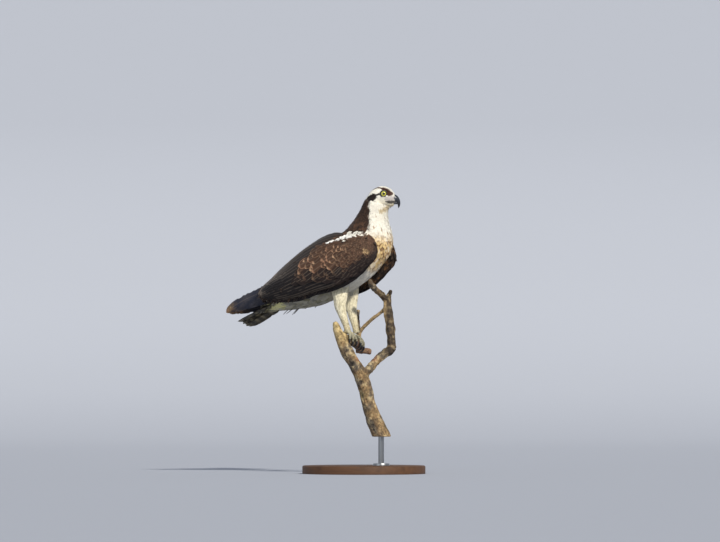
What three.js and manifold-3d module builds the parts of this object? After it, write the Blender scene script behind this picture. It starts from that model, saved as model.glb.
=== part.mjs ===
// An osprey, life size, perched on a short cut length of a dead forked branch, which a flat round base and one rod hold up.
// Millimetres, +Z up. The bird faces +X with its right side towards -Y. The origin is the middle of the underside of the base.
// The head, neck and trunk are one lofted body parted by thin cuts; wings, tail, legs, feet, claws, bill and eyes are solids of their own.
import * as THREE from "three";
import { mergeVertices } from "three/addons/utils/BufferGeometryUtils.js";
import Module from "manifold-3d";

const wasm = await Module();
wasm.setup();

// ---------------------------------------------------------------- driving sizes
const GAP = 0.32; // between solids that touch
const GRIP = [-30, 0, 323]; // middle of the rung that the feet hold, in the part's frame
const BRANCH_TURN = 24; // degrees: the plane of the forked branch, turned about Z from the bird's own side plane
const LEFT_WING_DROP = 6.4;
const LEFT_WING_FORWARD = 3.3;
const HEAD_AT = [84.8, 5, 360.4]; // middle of the head between the eyes, from GRIP
const HEAD_YAW = 12; // degrees: the head looks a little to the bird's left
const EYE_RADIUS = 9.2;
const EYE_OUT = 17.6; // eye's middle from the head's middle plane
const EYE_TURN = 74; // degrees between the eye's axis and straight ahead
const RUNG_RADIUS = 12;
const FOOT_APART = 24; // each foot from the middle plane
const TOE_LENGTH = 29;
const TOE_RADIUS = 4.1;
const CLAW_LENGTH = 25;
const BASE_RADIUS = 150;
const BASE_THICK = 20;
const BASE_CHAMFER = 3;
const ROD_RADIUS = 7;
const CUT_HEIGHT = 90; // the branch is sawn level at this height
const FLANGE_RADIUS = 21;
const FLANGE_THICK = 5;

// Body stations from the tail's root to the top of the neck: [x, z] of the back line, [x, z] of the belly line, half width, all from GRIP.
const BODY = [
  { name: "tail_coverts", back: [-236, 101], belly: [-240, 86], half: 9 },
  { name: "tail_root", back: [-204, 139], belly: [-208, 77], half: 27 },
  { name: "rump", back: [-166, 174], belly: [-166, 79], half: 40 },
  { name: "loin", back: [-126, 208], belly: [-122, 83], half: 50 },
  { name: "hips", back: [-90, 232], belly: [-76, 91], half: 57 },
  { name: "back", back: [-60, 250], belly: [-44, 106], half: 60 },
  { name: "mantle", back: [-37, 260], belly: [-6, 122], half: 61 },
  { name: "shoulders", back: [-20, 269], belly: [36, 147], half: 60 },
  { name: "breast", back: [-8, 279], belly: [65, 173], half: 57 },
  { name: "upper_breast", back: [1, 289], belly: [93, 203], half: 54 },
  { name: "crop", back: [8, 298], belly: [105, 236], half: 49 },
  { name: "neck_root", back: [15, 308], belly: [102, 265], half: 43 },
  { name: "neck_low", back: [22, 319], belly: [94, 290], half: 37 },
  { name: "neck_mid", back: [28, 331], belly: [92, 308], half: 32.5 },
  { name: "neck_high", back: [34, 345], belly: [93, 324], half: 29 },
  { name: "in_head", back: [43, 356], belly: [89, 342], half: 22 },
];
// Head stations from the back of the skull to the bill's root, in the head's own frame: ahead, top, bottom, half width.
const HEAD = [
  { ahead: -43, top: -9, bottom: -24, half: 9 },
  { ahead: -37, top: 3, bottom: -32, half: 18 },
  { ahead: -26, top: 12.5, bottom: -37, half: 23.5 },
  { ahead: -12, top: 18, bottom: -38, half: 26 },
  { ahead: 0, top: 17.6, bottom: -38, half: 25.8 },
  { ahead: 10, top: 13.6, bottom: -38, half: 22 },
  { ahead: 18, top: 7, bottom: -33, half: 16.5 },
  { ahead: 24, top: -0.5, bottom: -27.5, half: 11.5 },
  { ahead: 26.5, top: -5, bottom: -24, half: 8.5 },
];
// The bill's halves in the head's frame: [ahead, up] of the upper line, [ahead, up] of the lower line and half width.
const BILL_UPPER = [
  { over: [17, -1.5], under: [17, -19.5], wide: 9.4 },
  { over: [24, -2.6], under: [23, -20.4], wide: 8.8 },
  { over: [29.6, -5.6], under: [27, -21.6], wide: 7.4 },
  { over: [34.2, -11], under: [29, -23.4], wide: 5.9 },
  { over: [37, -17.6], under: [30.2, -25.6], wide: 4.6 },
  { over: [37.9, -24.4], under: [31.2, -28.6], wide: 3.2 },
  { over: [36.6, -31], under: [31.8, -32.2], wide: 1.9 },
  { over: [33.6, -36.6], under: [32.6, -35.8], wide: 0.7 },
];
const BILL_LOWER = [
  { over: [11, -19.6], under: [11, -26.6], wide: 7.6 },
  { over: [18, -20.2], under: [18, -27], wide: 7 },
  { over: [24, -21.2], under: [24, -27], wide: 5.6 },
  { over: [28.6, -23], under: [28.2, -27.2], wide: 3.8 },
  { over: [30.6, -25.2], under: [30.4, -26.8], wide: 1.6 },
];
// Right wing, folded, from the wrist to the tips of the secondaries: upper edge and lower edge as [x, out, z], the widest reach and the thickness.
const WING = [
  { upper: [84, 53, 243], lower: [91, 55, 216], reach: 58, thick: 12 },
  { upper: [64, 48, 256], lower: [84, 58, 196], reach: 66, thick: 20 },
  { upper: [28, 41, 263], lower: [58, 62, 174], reach: 71, thick: 24 },
  { upper: [-14, 35, 263], lower: [20, 63, 145], reach: 74, thick: 24 },
  { upper: [-56, 31, 255], lower: [-24, 61, 128], reach: 73.5, thick: 22 },
  { upper: [-96, 27, 237], lower: [-70, 57, 118], reach: 70, thick: 19 },
  { upper: [-137, 23, 212], lower: [-116, 51, 106], reach: 64, thick: 16 },
  { upper: [-178, 19, 182], lower: [-160, 45, 100], reach: 55, thick: 13 },
  { upper: [-216, 15.5, 153], lower: [-200, 38, 99], reach: 45, thick: 9 },
  { upper: [-243, 13, 133], lower: [-228, 30, 101], reach: 34, thick: 4.5 },
];
// The primaries that stand out behind the secondaries.
const WINGTIP = [
  { upper: [-186, 34, 140], lower: [-180, 36, 104], thick: 7 },
  { upper: [-230, 24, 130], lower: [-226, 29, 99], thick: 6 },
  { upper: [-262, 17, 121], lower: [-258, 23, 91], thick: 5 },
  { upper: [-290, 12.5, 111], lower: [-286, 17.5, 84], thick: 4 },
  { upper: [-316, 9, 98], lower: [-312, 12.5, 77], thick: 3 },
  { upper: [-334, 7, 86], lower: [-332, 9, 74], thick: 2.2 },
  { upper: [-344, 6, 77], lower: [-343, 6.6, 73.5], thick: 1.2 },
];
// The tail fan: distance back along the tail, half width, thickness and how far its sides hang below its middle.
const TAIL_ROOT = [-158, 0, 118];
const TAIL_SLOPE = 24; // degrees below level
const TAIL_ROLL = 15; // degrees: the right side lies higher
const TAIL = [
  { back: 0, half: 17, thick: 11, hang: 3 },
  { back: 40, half: 24, thick: 10, hang: 6 },
  { back: 80, half: 33, thick: 7.5, hang: 8 },
  { back: 120, half: 40, thick: 5, hang: 9 },
  { back: 142, half: 41, thick: 3.8, hang: 9 },
  { back: 157, half: 31, thick: 3, hang: 5 },
  { back: 166, half: 14, thick: 2, hang: 1 },
];
// Right leg: the feathered thigh, then the tarsus, each [x, out, z] from GRIP with half sizes fore and aft and across.
const THIGH = [
  { at: [-22, 26, 150], fore: 27, side: 17 },
  { at: [-20, 30, 124], fore: 23, side: 17 },
  { at: [-19, 32, 102], fore: 17.5, side: 14 },
  { at: [-19, 32, 86], fore: 15.5, side: 12.5 },
  { at: [-17, 31.5, 74], fore: 13.5, side: 11.2 },
];
const TARSUS = [
  { at: [-17.5, 31.5, 77], fore: 13.6, side: 11.3 },
  { at: [-13, 30, 62], fore: 11.6, side: 9.6 },
  { at: [-7.5, 28, 45], fore: 9.4, side: 8.2 },
  { at: [-3.5, 26, 32], fore: 8.4, side: 7.8 },
  { at: [-1, 25, 22], fore: 8, side: 8.6 },
];
// Toes of the right foot: which way each leaves the sole, how far to the side it starts and how far round the rung it reaches.
const TOES = [
  { name: "inner", way: 1, start: -5, splay: -9, length: 0.94 },
  { name: "middle", way: 1, start: 0, splay: 0, length: 1.04 },
  { name: "outer", way: 1, start: 5, splay: 9, length: 0.98 },
  { name: "hind", way: -1, start: 0, splay: -3, length: 0.8 },
];
// The branch. Each limb is [across, away, up, radius]: across and away lie in the turned plane, up is height, all from GRIP.
const STEM = [
  [76, -25, -248, 23],
  [66, -25, -222, 21.5],
  [51.5, -25, -188, 19.5],
  [38.5, -26, -150, 17],
  [28, -28, -106, 17.2],
  [18, -31, -78, 16.6],
  [3, -33, -54, 15.4],
  [-14.5, -35, -24, 15.8],
  [-29, -36, 6, 13.4],
  [-38, -36, 30, 10],
  [-43.5, -36, 46, 5.4],
];
const LIMB_LOWER = [
  [24, -30, -86, 12.2],
  [42, -27, -67, 11.2],
  [59, -21, -48, 10.6],
  [79, -13, -30, 11],
  [93, -8, -20, 12.4],
  [98, -7, -14, 12.4],
];
const LIMB_UPPER = [
  [96.5, -7, -17, 11.8],
  [94.6, -4, 7, 11.3],
  [93.2, 0, 29.5, 12.4],
  [90.4, 3, 49.5, 11.4],
  [87.4, 5, 69.5, 10.8],
  [86, 6, 89.5, 11.6],
  [87, 6, 106, 10.6],
  [91.5, 5, 118, 8],
  [94.5, 4, 126, 5.4],
];
const ARM = [
  [85, 4, 101, 8.6],
  [73, -8, 112, 8.8],
  [60, -26, 122, 8.2],
  [48, -44, 133, 7.8],
  [43, -54, 141, 6.6],
  [42, -58, 147, 4.4],
];
const RUNG = [
  [-26, -36, 9, 13],
  [-14, -20, 4, 12.4],
  [0, 0, 0, RUNG_RADIUS],
  [9, 24, -6, 11.6],
  [16, 45, -12, 10.6],
  [19, 54, -15, 8.6],
];
const PEG = [
  [16, 50, -10, 6.8],
  [15.2, 53, 12, 6.6],
  [12, 56, 38, 6.2],
  [10.6, 57, 60, 6.2],
  [14, 57, 80, 4.6],
];
const SPUR = [
  [8, 46, -20, 8.4],
  [20, 45, -22.5, 8],
  [34, 42, -22.5, 7.4],
  [45, 40, -25, 6.6],
];
const TWIG = [
  [16, 52, 14, 4.2],
  [20, 50, 27, 4.6],
  [27, 43, 37, 4.4],
  [45, 30, 52, 4.4],
  [64, 17, 67, 4.4],
  [84, 6, 84, 4.4],
];

// ---------------------------------------------------------------- small helpers
const rad = THREE.MathUtils.degToRad;
const V = (x, y, z) => new THREE.Vector3(x, y, z);
const fromGrip = (x, y, z) => V(GRIP[0] + x, GRIP[1] + y, GRIP[2] + z);
const onBranch = (across, away, up) => {
  const c = Math.cos(rad(BRANCH_TURN)),
    s = Math.sin(rad(BRANCH_TURN));
  return fromGrip(across * c - away * s, across * s + away * c, up);
};
const headFrame = () => {
  const turn = rad(HEAD_YAW);
  return {
    origin: fromGrip(...HEAD_AT),
    ahead: V(Math.cos(turn), Math.sin(turn), 0),
    left: V(-Math.sin(turn), Math.cos(turn), 0),
    up: V(0, 0, 1),
  };
};
const onHead = (ahead, left, up) => {
  const f = headFrame();
  return f.origin
    .clone()
    .addScaledVector(f.ahead, ahead)
    .addScaledVector(f.left, left)
    .addScaledVector(f.up, up);
};

// Smooth curve through evenly spaced numbers, read at t from 0 to 1.
function along(values, t) {
  const n = values.length - 1,
    x = Math.min(Math.max(t, 0), 1) * n,
    i = Math.min(Math.floor(x), n - 1),
    u = x - i;
  const p = (k) => values[Math.min(Math.max(k, 0), n)];
  const a = p(i),
    b = p(i + 1),
    ma = i > 0 ? (b - p(i - 1)) / 2 : b - a,
    mb = i < n - 1 ? (p(i + 2) - a) / 2 : b - a;
  const u2 = u * u,
    u3 = u2 * u;
  return (2 * u3 - 3 * u2 + 1) * a + (u3 - 2 * u2 + u) * ma + (3 * u2 - 2 * u3) * b + (u3 - u2) * mb;
}

// A closed body from rings of points. Its ends are closed by fans, or across from side to side where the rings are flat strips.
function loft(rings, strips = false) {
  const n = rings[0].length,
    positions = [],
    index = [];
  for (const ring of rings) for (const p of ring) positions.push(p.x, p.y, p.z);
  const middle = (ring) => ring.reduce((a, p) => a.add(p), V(0, 0, 0)).multiplyScalar(1 / n);
  const first = middle(rings[0]),
    last = middle(rings[rings.length - 1]);
  if (!strips) positions.push(first.x, first.y, first.z, last.x, last.y, last.z);
  const a0 = rings.length * n,
    b0 = a0 + 1;
  for (let r = 0; r < rings.length - 1; r++)
    for (let k = 0; k < n; k++) {
      const a = r * n + k,
        b = r * n + ((k + 1) % n);
      index.push(a, b, b + n, a, b + n, a + n);
    }
  const q = (rings.length - 1) * n;
  if (strips)
    for (let k = 0; k < n / 2 - 1; k++) {
      const [a, b, c, d] = [k, k + 1, n - 2 - k, n - 1 - k];
      index.push(a, c, b, a, d, c, q + a, q + b, q + c, q + a, q + c, q + d);
    }
  else
    for (let k = 0; k < n; k++) {
      index.push(a0, (k + 1) % n, k);
      index.push(b0, q + k, q + ((k + 1) % n));
    }
  const g = new THREE.BufferGeometry();
  g.setAttribute("position", new THREE.Float32BufferAttribute(positions, 3));
  g.setIndex(index);
  return g;
}

function solid(geometry) {
  const g = (geometry.index ? geometry.toNonIndexed() : geometry.clone());
  g.deleteAttribute("normal");
  g.deleteAttribute("uv");
  const m = mergeVertices(g, 1e-3);
  let s = new wasm.Manifold(
    new wasm.Mesh({
      numProp: 3,
      vertProperties: new Float32Array(m.attributes.position.array),
      triVerts: new Uint32Array(m.index.array),
    }),
  );
  if (s.volume() < 0) {
    const t = new Uint32Array(m.index.array);
    for (let i = 0; i < t.length; i += 3) [t[i + 1], t[i + 2]] = [t[i + 2], t[i + 1]];
    s = new wasm.Manifold(
      new wasm.Mesh({ numProp: 3, vertProperties: new Float32Array(m.attributes.position.array), triVerts: t }),
    );
  }
  return s;
}
// The largest body left after a cut, without the slivers that cuts leave.
const biggest = (s) => s.decompose().reduce((a, b) => (b.volume() > a.volume() ? b : a)).simplify(0.15);
function geometryOf(s) {
  const m = s.getMesh(),
    n = m.numProp,
    v = new Float32Array(m.numVert * 3);
  for (let i = 0; i < m.numVert; i++) v.set(m.vertProperties.subarray(i * n, i * n + 3), i * 3);
  const g = new THREE.BufferGeometry();
  g.setAttribute("position", new THREE.BufferAttribute(v, 3));
  g.setIndex(new THREE.BufferAttribute(new Uint32Array(m.triVerts), 1));
  g.computeVertexNormals();
  return g;
}

// ---------------------------------------------------------------- head, neck and trunk
// grow moves the whole surface out, for cutting a neighbour back with a small gap.
function bodyLoft(grow = 0, steps = 20, round = 16) {
  const get = (f) => BODY.map(f);
  const bx = get((s) => s.back[0]), bz = get((s) => s.back[1]);
  const vx = get((s) => s.belly[0]), vz = get((s) => s.belly[1]);
  const half = get((s) => s.half);
  const rings = [];
  for (let i = 0; i <= steps; i++) {
    const t = i / steps;
    const back = fromGrip(along(bx, t), 0, along(bz, t));
    const belly = fromGrip(along(vx, t), 0, along(vz, t));
    const w = along(half, t) + grow;
    const mid = back.clone().add(belly).multiplyScalar(0.5);
    const upward = back.clone().sub(belly).multiplyScalar(0.5);
    upward.setLength(upward.length() + grow);
    const widest = 0.12 * (1 - t); // the trunk is widest a little above its middle
    const ring = [];
    for (let k = 0; k < round; k++) {
      const a = (2 * Math.PI * k) / round,
        c = Math.cos(a),
        s = Math.sin(a);
      const v = c + widest * (1 - c * c);
      const y = Math.sign(s) * Math.pow(Math.abs(s), 0.92) * w;
      ring.push(mid.clone().addScaledVector(upward, v).add(V(0, y, 0)));
    }
    rings.push(ring);
  }
  if (grow) {
    // the ends move out too
    const pull = (ring, other) => {
      const m = (r) => r.reduce((a, p) => a.add(p), V(0, 0, 0)).multiplyScalar(1 / r.length);
      const d = m(ring).sub(m(other)).setLength(grow);
      ring.forEach((p) => p.add(d));
    };
    pull(rings[0], rings[1]);
    pull(rings[rings.length - 1], rings[rings.length - 2]);
  }
  return solid(loft(rings));
}

function headLoft(grow = 0, steps = 12, round = 14) {
  const pick = (key) => HEAD.map((s) => s[key]);
  const rings = [];
  for (let i = 0; i <= steps; i++) {
    const t = i / steps;
    const top = along(pick("top"), t) + grow,
      bottom = along(pick("bottom"), t) - grow,
      w = along(pick("half"), t) + grow;
    const ahead = along(pick("ahead"), t) + (i === 0 ? -grow : i === steps ? grow : 0);
    const mid = (top + bottom) / 2,
      tall = (top - bottom) / 2;
    const ring = [];
    for (let k = 0; k < round; k++) {
      const a = (2 * Math.PI * k) / round,
        c = Math.cos(a),
        s = Math.sin(a);
      const v = c + 0.22 * (1 - c * c); // cheeks are widest at the eyes
      ring.push(onHead(ahead, Math.sign(s) * Math.pow(Math.abs(s), 0.9) * w, mid + tall * v));
    }
    rings.push(ring);
  }
  return solid(loft(rings));
}

function ellipsoid(centre, axes, radii, wide = 8, tall = 5) {
  const g = new THREE.SphereGeometry(1, wide, tall);
  const m = new THREE.Matrix4().makeBasis(
    axes[0].clone().multiplyScalar(radii[0]),
    axes[1].clone().multiplyScalar(radii[1]),
    axes[2].clone().multiplyScalar(radii[2]),
  );
  m.setPosition(centre);
  g.applyMatrix4(m);
  return solid(g);
}
const eyeCentre = (side) => onHead(-0.8, side * EYE_OUT, -2.8);
function eyeBall(side, grow = 0) {
  const f = headFrame();
  return ellipsoid(eyeCentre(side), [f.ahead, f.left, f.up], Array(3).fill(EYE_RADIUS + grow), 10, 7);
}
function brow(side) {
  const f = headFrame(),
    tilt = rad(14);
  const forward = f.ahead.clone().multiplyScalar(Math.cos(tilt)).addScaledVector(f.up, -Math.sin(tilt));
  const over = f.up.clone().multiplyScalar(Math.cos(tilt)).addScaledVector(f.ahead, Math.sin(tilt));
  return ellipsoid(onHead(3, side * 19.2, 9.2), [forward, f.left, over], [14, 5.4, 3.4]);
}

// ---------------------------------------------------------------- bill
function billLoft(stations, grow = 0, steps = 7, round = 10) {
  const read = (key, i, t) => along(stations.map((s) => s[key][i]), t);
  const rings = [];
  for (let i = 0; i <= steps; i++) {
    const t = i / steps;
    const over = { a: read("over", 0, t), u: read("over", 1, t) }, under = { a: read("under", 0, t), u: read("under", 1, t) };
    const ma = (over.a + under.a) / 2, mu = (over.u + under.u) / 2;
    let ha = (over.a - under.a) / 2, hu = (over.u - under.u) / 2;
    const l = Math.hypot(ha, hu);
    ha *= (l + grow) / l;
    hu *= (l + grow) / l;
    const w = Math.max(along(stations.map((s) => s.wide), t), 0.4) + grow;
    const off = i === 0 ? -grow : i === steps ? grow : 0;
    const ring = [];
    for (let k = 0; k < round; k++) {
      const c = Math.cos((2 * Math.PI * k) / round), s = Math.sin((2 * Math.PI * k) / round);
      ring.push(onHead(ma + ha * c + (off * hu) / l, s * w, mu + hu * c - (off * ha) / l));
    }
    rings.push(ring);
  }
  return solid(loft(rings));
}

// ---------------------------------------------------------------- wings
function wingShape(side, stations, grow = 0, steps = 17, rows = 6) {
  const pick = (f) => stations.map(f);
  const drop = side > 0 ? LEFT_WING_DROP : 0, fwd = side > 0 ? LEFT_WING_FORWARD : 0;
  const read = (key, i, t) => along(pick((s) => s[key][i]), t);
  const rings = [];
  for (let i = 0; i <= steps; i++) {
    const t = i / steps;
    const up = V(read("upper", 0, t) + fwd, read("upper", 1, t), read("upper", 2, t) - drop * Math.min(1, 1.6 - 1.4 * t));
    const low = V(read("lower", 0, t) + fwd, read("lower", 1, t), read("lower", 2, t) - drop * Math.min(1, 1.6 - 1.4 * t));
    const chord = low.clone().sub(up);
    const flat = (up.y + low.y) / 2;
    const reach = stations[0].reach !== undefined ? along(pick((s) => s.reach), t) : flat + 1.5;
    const thick = along(pick((s) => s.thick), t);
    const outline = [];
    const n = rows;
    for (let k = 0; k <= n; k++) {
      const q = k / n;
      const bow = Math.pow(Math.sin(Math.PI * Math.min(1, 0.04 + 0.92 * Math.pow(q, 0.85))), 0.75);
      const p = up.clone().addScaledVector(chord, q);
      p.y = THREE.MathUtils.lerp(up.y, low.y, q) + (reach - flat) * bow + grow;
      outline.push(p);
    }
    for (let k = n; k >= 0; k--) {
      const q = k / n;
      const bow = Math.pow(Math.sin(Math.PI * Math.min(1, 0.04 + 0.92 * Math.pow(q, 0.85))), 0.75);
      const p = up.clone().addScaledVector(chord, q);
      const t2 = 1.2 + (thick - 1.2) * Math.sin(Math.PI * (0.1 + 0.8 * q));
      p.y = THREE.MathUtils.lerp(up.y, low.y, q) + (reach - flat) * bow - t2 - grow;
      outline.push(p);
    }
    if (grow) {
      const away = chord.clone().setLength(grow);
      outline[0].sub(away); outline[2 * n + 1].sub(away);
      outline[n].add(away); outline[n + 1].add(away);
      if (i === 0 || i === steps) outline.forEach((p) => (p.x += i === 0 ? grow : -grow));
    }
    rings.push(outline.map((p) => fromGrip(p.x, side * p.y, p.z)));
  }
  return solid(loft(rings, true));
}

// ---------------------------------------------------------------- tail
function tailShape(grow = 0, steps = 10, cols = 6) {
  const pick = (key) => TAIL.map((s) => s[key]);
  const slope = rad(TAIL_SLOPE), roll = rad(TAIL_ROLL);
  const rings = [];
  for (let i = 0; i <= steps; i++) {
    const t = i / steps;
    const back = along(pick("back"), t) + (i === 0 ? -grow : i === steps ? grow : 0),
      half = Math.max(along(pick("half"), t), 6) + grow,
      thick = along(pick("thick"), t) / 2 + grow,
      hang = along(pick("hang"), t);
    const ring = [];
    const put = (q, lift) => {
      const y = q * half, z = -hang * q * q + lift;
      const yr = y * Math.cos(roll) + z * Math.sin(roll), zr = z * Math.cos(roll) - y * Math.sin(roll);
      ring.push(fromGrip(
        TAIL_ROOT[0] - back * Math.cos(slope),
        TAIL_ROOT[1] + yr,
        TAIL_ROOT[2] - back * Math.sin(slope) + zr,
      ));
    };
    for (let k = 0; k <= cols; k++) {
      const q = -1 + (2 * k) / cols;
      put(q, thick * (1 - 0.55 * q * q));
    }
    for (let k = cols; k >= 0; k--) {
      const q = -1 + (2 * k) / cols;
      put(q, -thick * (1 - 0.55 * q * q));
    }
    rings.push(ring);
  }
  return solid(loft(rings, true));
}

// ---------------------------------------------------------------- legs and feet
function limbShape(side, stations, grow = 0, steps = 6, round = 10) {
  const read = (i, t) => along(stations.map((s) => s.at[i]), t);
  const rings = [];
  for (let i = 0; i <= steps; i++) {
    const t = i / steps;
    const fore = along(stations.map((s) => s.fore), t) + grow,
      across = along(stations.map((s) => s.side), t) + grow;
    const z = read(2, t) + (i === 0 ? grow : i === steps ? -grow : 0);
    const ring = [];
    for (let k = 0; k < round; k++) {
      const a = (2 * Math.PI * k) / round;
      ring.push(fromGrip(read(0, t) + fore * Math.cos(a), side * (read(1, t) + across * Math.sin(a)), z));
    }
    rings.push(ring);
  }
  return solid(loft(rings));
}

// A round rod along a curve, each ring square to it, with its own radius at each point.
function rod(points, radii, grow = 0, steps = 20, round = 12) {
  const curve = new THREE.CatmullRomCurve3(points, false, "centripetal");
  const frames = curve.computeFrenetFrames(steps, false);
  const rings = [];
  for (let i = 0; i <= steps; i++) {
    const t = i / steps;
    const p = curve.getPointAt(t);
    const r = along(radii, curve.getUtoTmapping(t)) + grow;
    if (grow && (i === 0 || i === steps)) p.addScaledVector(frames.tangents[i], i === 0 ? -grow : grow);
    const ring = [];
    for (let k = 0; k < round; k++) {
      const a = (2 * Math.PI * k) / round;
      ring.push(p.clone().addScaledVector(frames.normals[i], r * Math.cos(a)).addScaledVector(frames.binormals[i], r * Math.sin(a)));
    }
    rings.push(ring);
  }
  return solid(loft(rings));
}
const branch = (stations, grow = 0, steps = 2 * stations.length - 2, round = 8) =>
  rod(stations.map((s) => onBranch(s[0], s[1], s[2])), stations.map((s) => s[3]), grow, steps, round);

// The rung's middle line, read where it passes a foot.
const rungCurve = new THREE.CatmullRomCurve3(RUNG.map((s) => onBranch(s[0], s[1], s[2])), false, "centripetal");
function rungAt(y) {
  let best = null;
  for (let i = 0; i <= 200; i++) {
    const t = i / 200, p = rungCurve.getPoint(t);
    if (!best || Math.abs(p.y - y) < best.miss) best = { miss: Math.abs(p.y - y), p, radius: along(RUNG.map((s) => s[3]), t) };
  }
  return best;
}

// A toe leaves the sole and wraps round the rung; its claw goes on round.
function toePath(side, toe) {
  const y0 = GRIP[1] + side * FOOT_APART;
  const points = [];
  const reach = (TOE_LENGTH * toe.length) / (RUNG_RADIUS + TOE_RADIUS);
  for (let i = 0; i <= 6; i++) {
    const q = i / 6;
    const y = y0 + side * (toe.start + toe.splay * q);
    const rung = rungAt(y);
    const ring = rung.radius + TOE_RADIUS + 0.4 + 2.4 * (1 - q) * (1 - q);
    const a = Math.PI / 2 - toe.way * (0.02 + reach * q);
    points.push(V(rung.p.x + ring * Math.cos(a), y, rung.p.z + ring * Math.sin(a)));
  }
  return points;
}
function clawPath(side, toe) {
  const path = toePath(side, toe), n = path.length;
  const end = path[n - 1];
  const y = end.y;
  const rung = rungAt(y);
  const radius = Math.hypot(end.x - rung.p.x, end.z - rung.p.z);
  const a0 = Math.atan2(end.z - rung.p.z, end.x - rung.p.x);
  const points = [];
  const turn = CLAW_LENGTH / (radius + 1.5);
  for (let i = 0; i <= 5; i++) {
    const q = i / 5;
    const a = a0 - toe.way * (turn * q - 0.1);
    const r = radius + 0.4 + 2.6 * Math.sin(Math.PI * q) - 1.6 * q;
    points.push(V(rung.p.x + r * Math.cos(a), y + side * toe.splay * 0.12 * q, rung.p.z + r * Math.sin(a)));
  }
  return points;
}
function toeSolid(side, toe, grow = 0) {
  const radii = [TOE_RADIUS * 1.12, TOE_RADIUS, TOE_RADIUS * 1.06, TOE_RADIUS * 0.92, TOE_RADIUS * 1.02, TOE_RADIUS * 0.9, TOE_RADIUS * 0.74];
  return rod(toePath(side, toe), radii, grow, 6, 6);
}
function clawSolid(side, toe) {
  return rod(clawPath(side, toe), [2.9, 2.75, 2.3, 1.7, 1.0, 0.35], 0, 5, 6);
}

// ---------------------------------------------------------------- put together
const model = new THREE.Group();
const finishes = {
  dark_feather: new THREE.MeshStandardMaterial({ color: 0x3a2a20, roughness: 0.85 }),
  white_feather: new THREE.MeshStandardMaterial({ color: 0xe9e2cf, roughness: 0.9 }),
  bill: new THREE.MeshStandardMaterial({ color: 0x20242a, roughness: 0.35 }),
  claw: new THREE.MeshStandardMaterial({ color: 0x15151a, roughness: 0.35 }),
  scales: new THREE.MeshStandardMaterial({ color: 0xb9bda6, roughness: 0.7 }),
  eye: new THREE.MeshStandardMaterial({ color: 0xd8d040, roughness: 0.05 }),
  bark: new THREE.MeshStandardMaterial({ color: 0x8a6a48, roughness: 0.95 }),
  stand_wood: new THREE.MeshStandardMaterial({ color: 0x4a3524, roughness: 0.5 }),
  stand_steel: new THREE.MeshStandardMaterial({ color: 0xa8abad, roughness: 0.35, metalness: 1 }),
};
function add(name, s, finish) {
  const mesh = new THREE.Mesh(geometryOf(biggest(s)), finishes[finish]);
  mesh.name = name;
  model.add(mesh);
}
// A thin slab across a line, for parting the body. It is square to the way given.
function slab(point, way, thick) {
  const g = new THREE.BoxGeometry(400, 400, thick);
  const q = new THREE.Quaternion().setFromUnitVectors(V(0, 0, 1), way.clone().normalize());
  g.applyMatrix4(new THREE.Matrix4().compose(point, q, V(1, 1, 1)));
  return solid(g);
}
function beyond(point, way) {
  // everything on the side of the point that the way faces
  const g = new THREE.BoxGeometry(900, 900, 900);
  g.translate(0, 0, 450);
  const q = new THREE.Quaternion().setFromUnitVectors(V(0, 0, 1), way.clone().normalize());
  g.applyMatrix4(new THREE.Matrix4().compose(point, q, V(1, 1, 1)));
  return solid(g);
}

// Cuts between trunk and neck, and neck and head.
const NECK_CUT = { at: fromGrip(58, 0, 283), way: V(0.42, 0, 0.91) };
const HEAD_CUT = { at: fromGrip(58, 0, 333), way: V(0.3, 0, 0.95) };

const eyes = eyeBall(-1, GAP).add(eyeBall(1, GAP));
const whole = bodyLoft().add(headLoft()).add(brow(-1)).add(brow(1));
const upperBill = billLoft(BILL_UPPER), upperBillGrown = billLoft(BILL_UPPER, GAP);
const lowerBill = billLoft(BILL_LOWER).subtract(upperBillGrown), lowerBillGrown = billLoft(BILL_LOWER, GAP);
const headBody = whole.subtract(eyes).subtract(upperBillGrown).subtract(lowerBillGrown);
const half = GAP / 2;
const shift = (cut, d) => cut.at.clone().addScaledVector(cut.way.clone().normalize(), d);
const thighGrown = limbShape(-1, THIGH, GAP).add(limbShape(1, THIGH, GAP));
const tailSolid = tailShape();
add("head", headBody.intersect(beyond(shift(HEAD_CUT, half), HEAD_CUT.way)), "white_feather");
add(
  "neck",
  headBody
    .intersect(beyond(shift(NECK_CUT, half), NECK_CUT.way))
    .subtract(beyond(shift(HEAD_CUT, -half), HEAD_CUT.way)),
  "white_feather",
);
const tailGrown = tailShape(GAP);
const trunk = headBody
  .subtract(beyond(shift(NECK_CUT, -half), NECK_CUT.way))
  .subtract(thighGrown)
  .subtract(tailGrown);
add("trunk", trunk, "white_feather");
add("tail", tailSolid, "dark_feather");
add("bill_upper", upperBill, "bill");
add("bill_lower", lowerBill, "bill");

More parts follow.
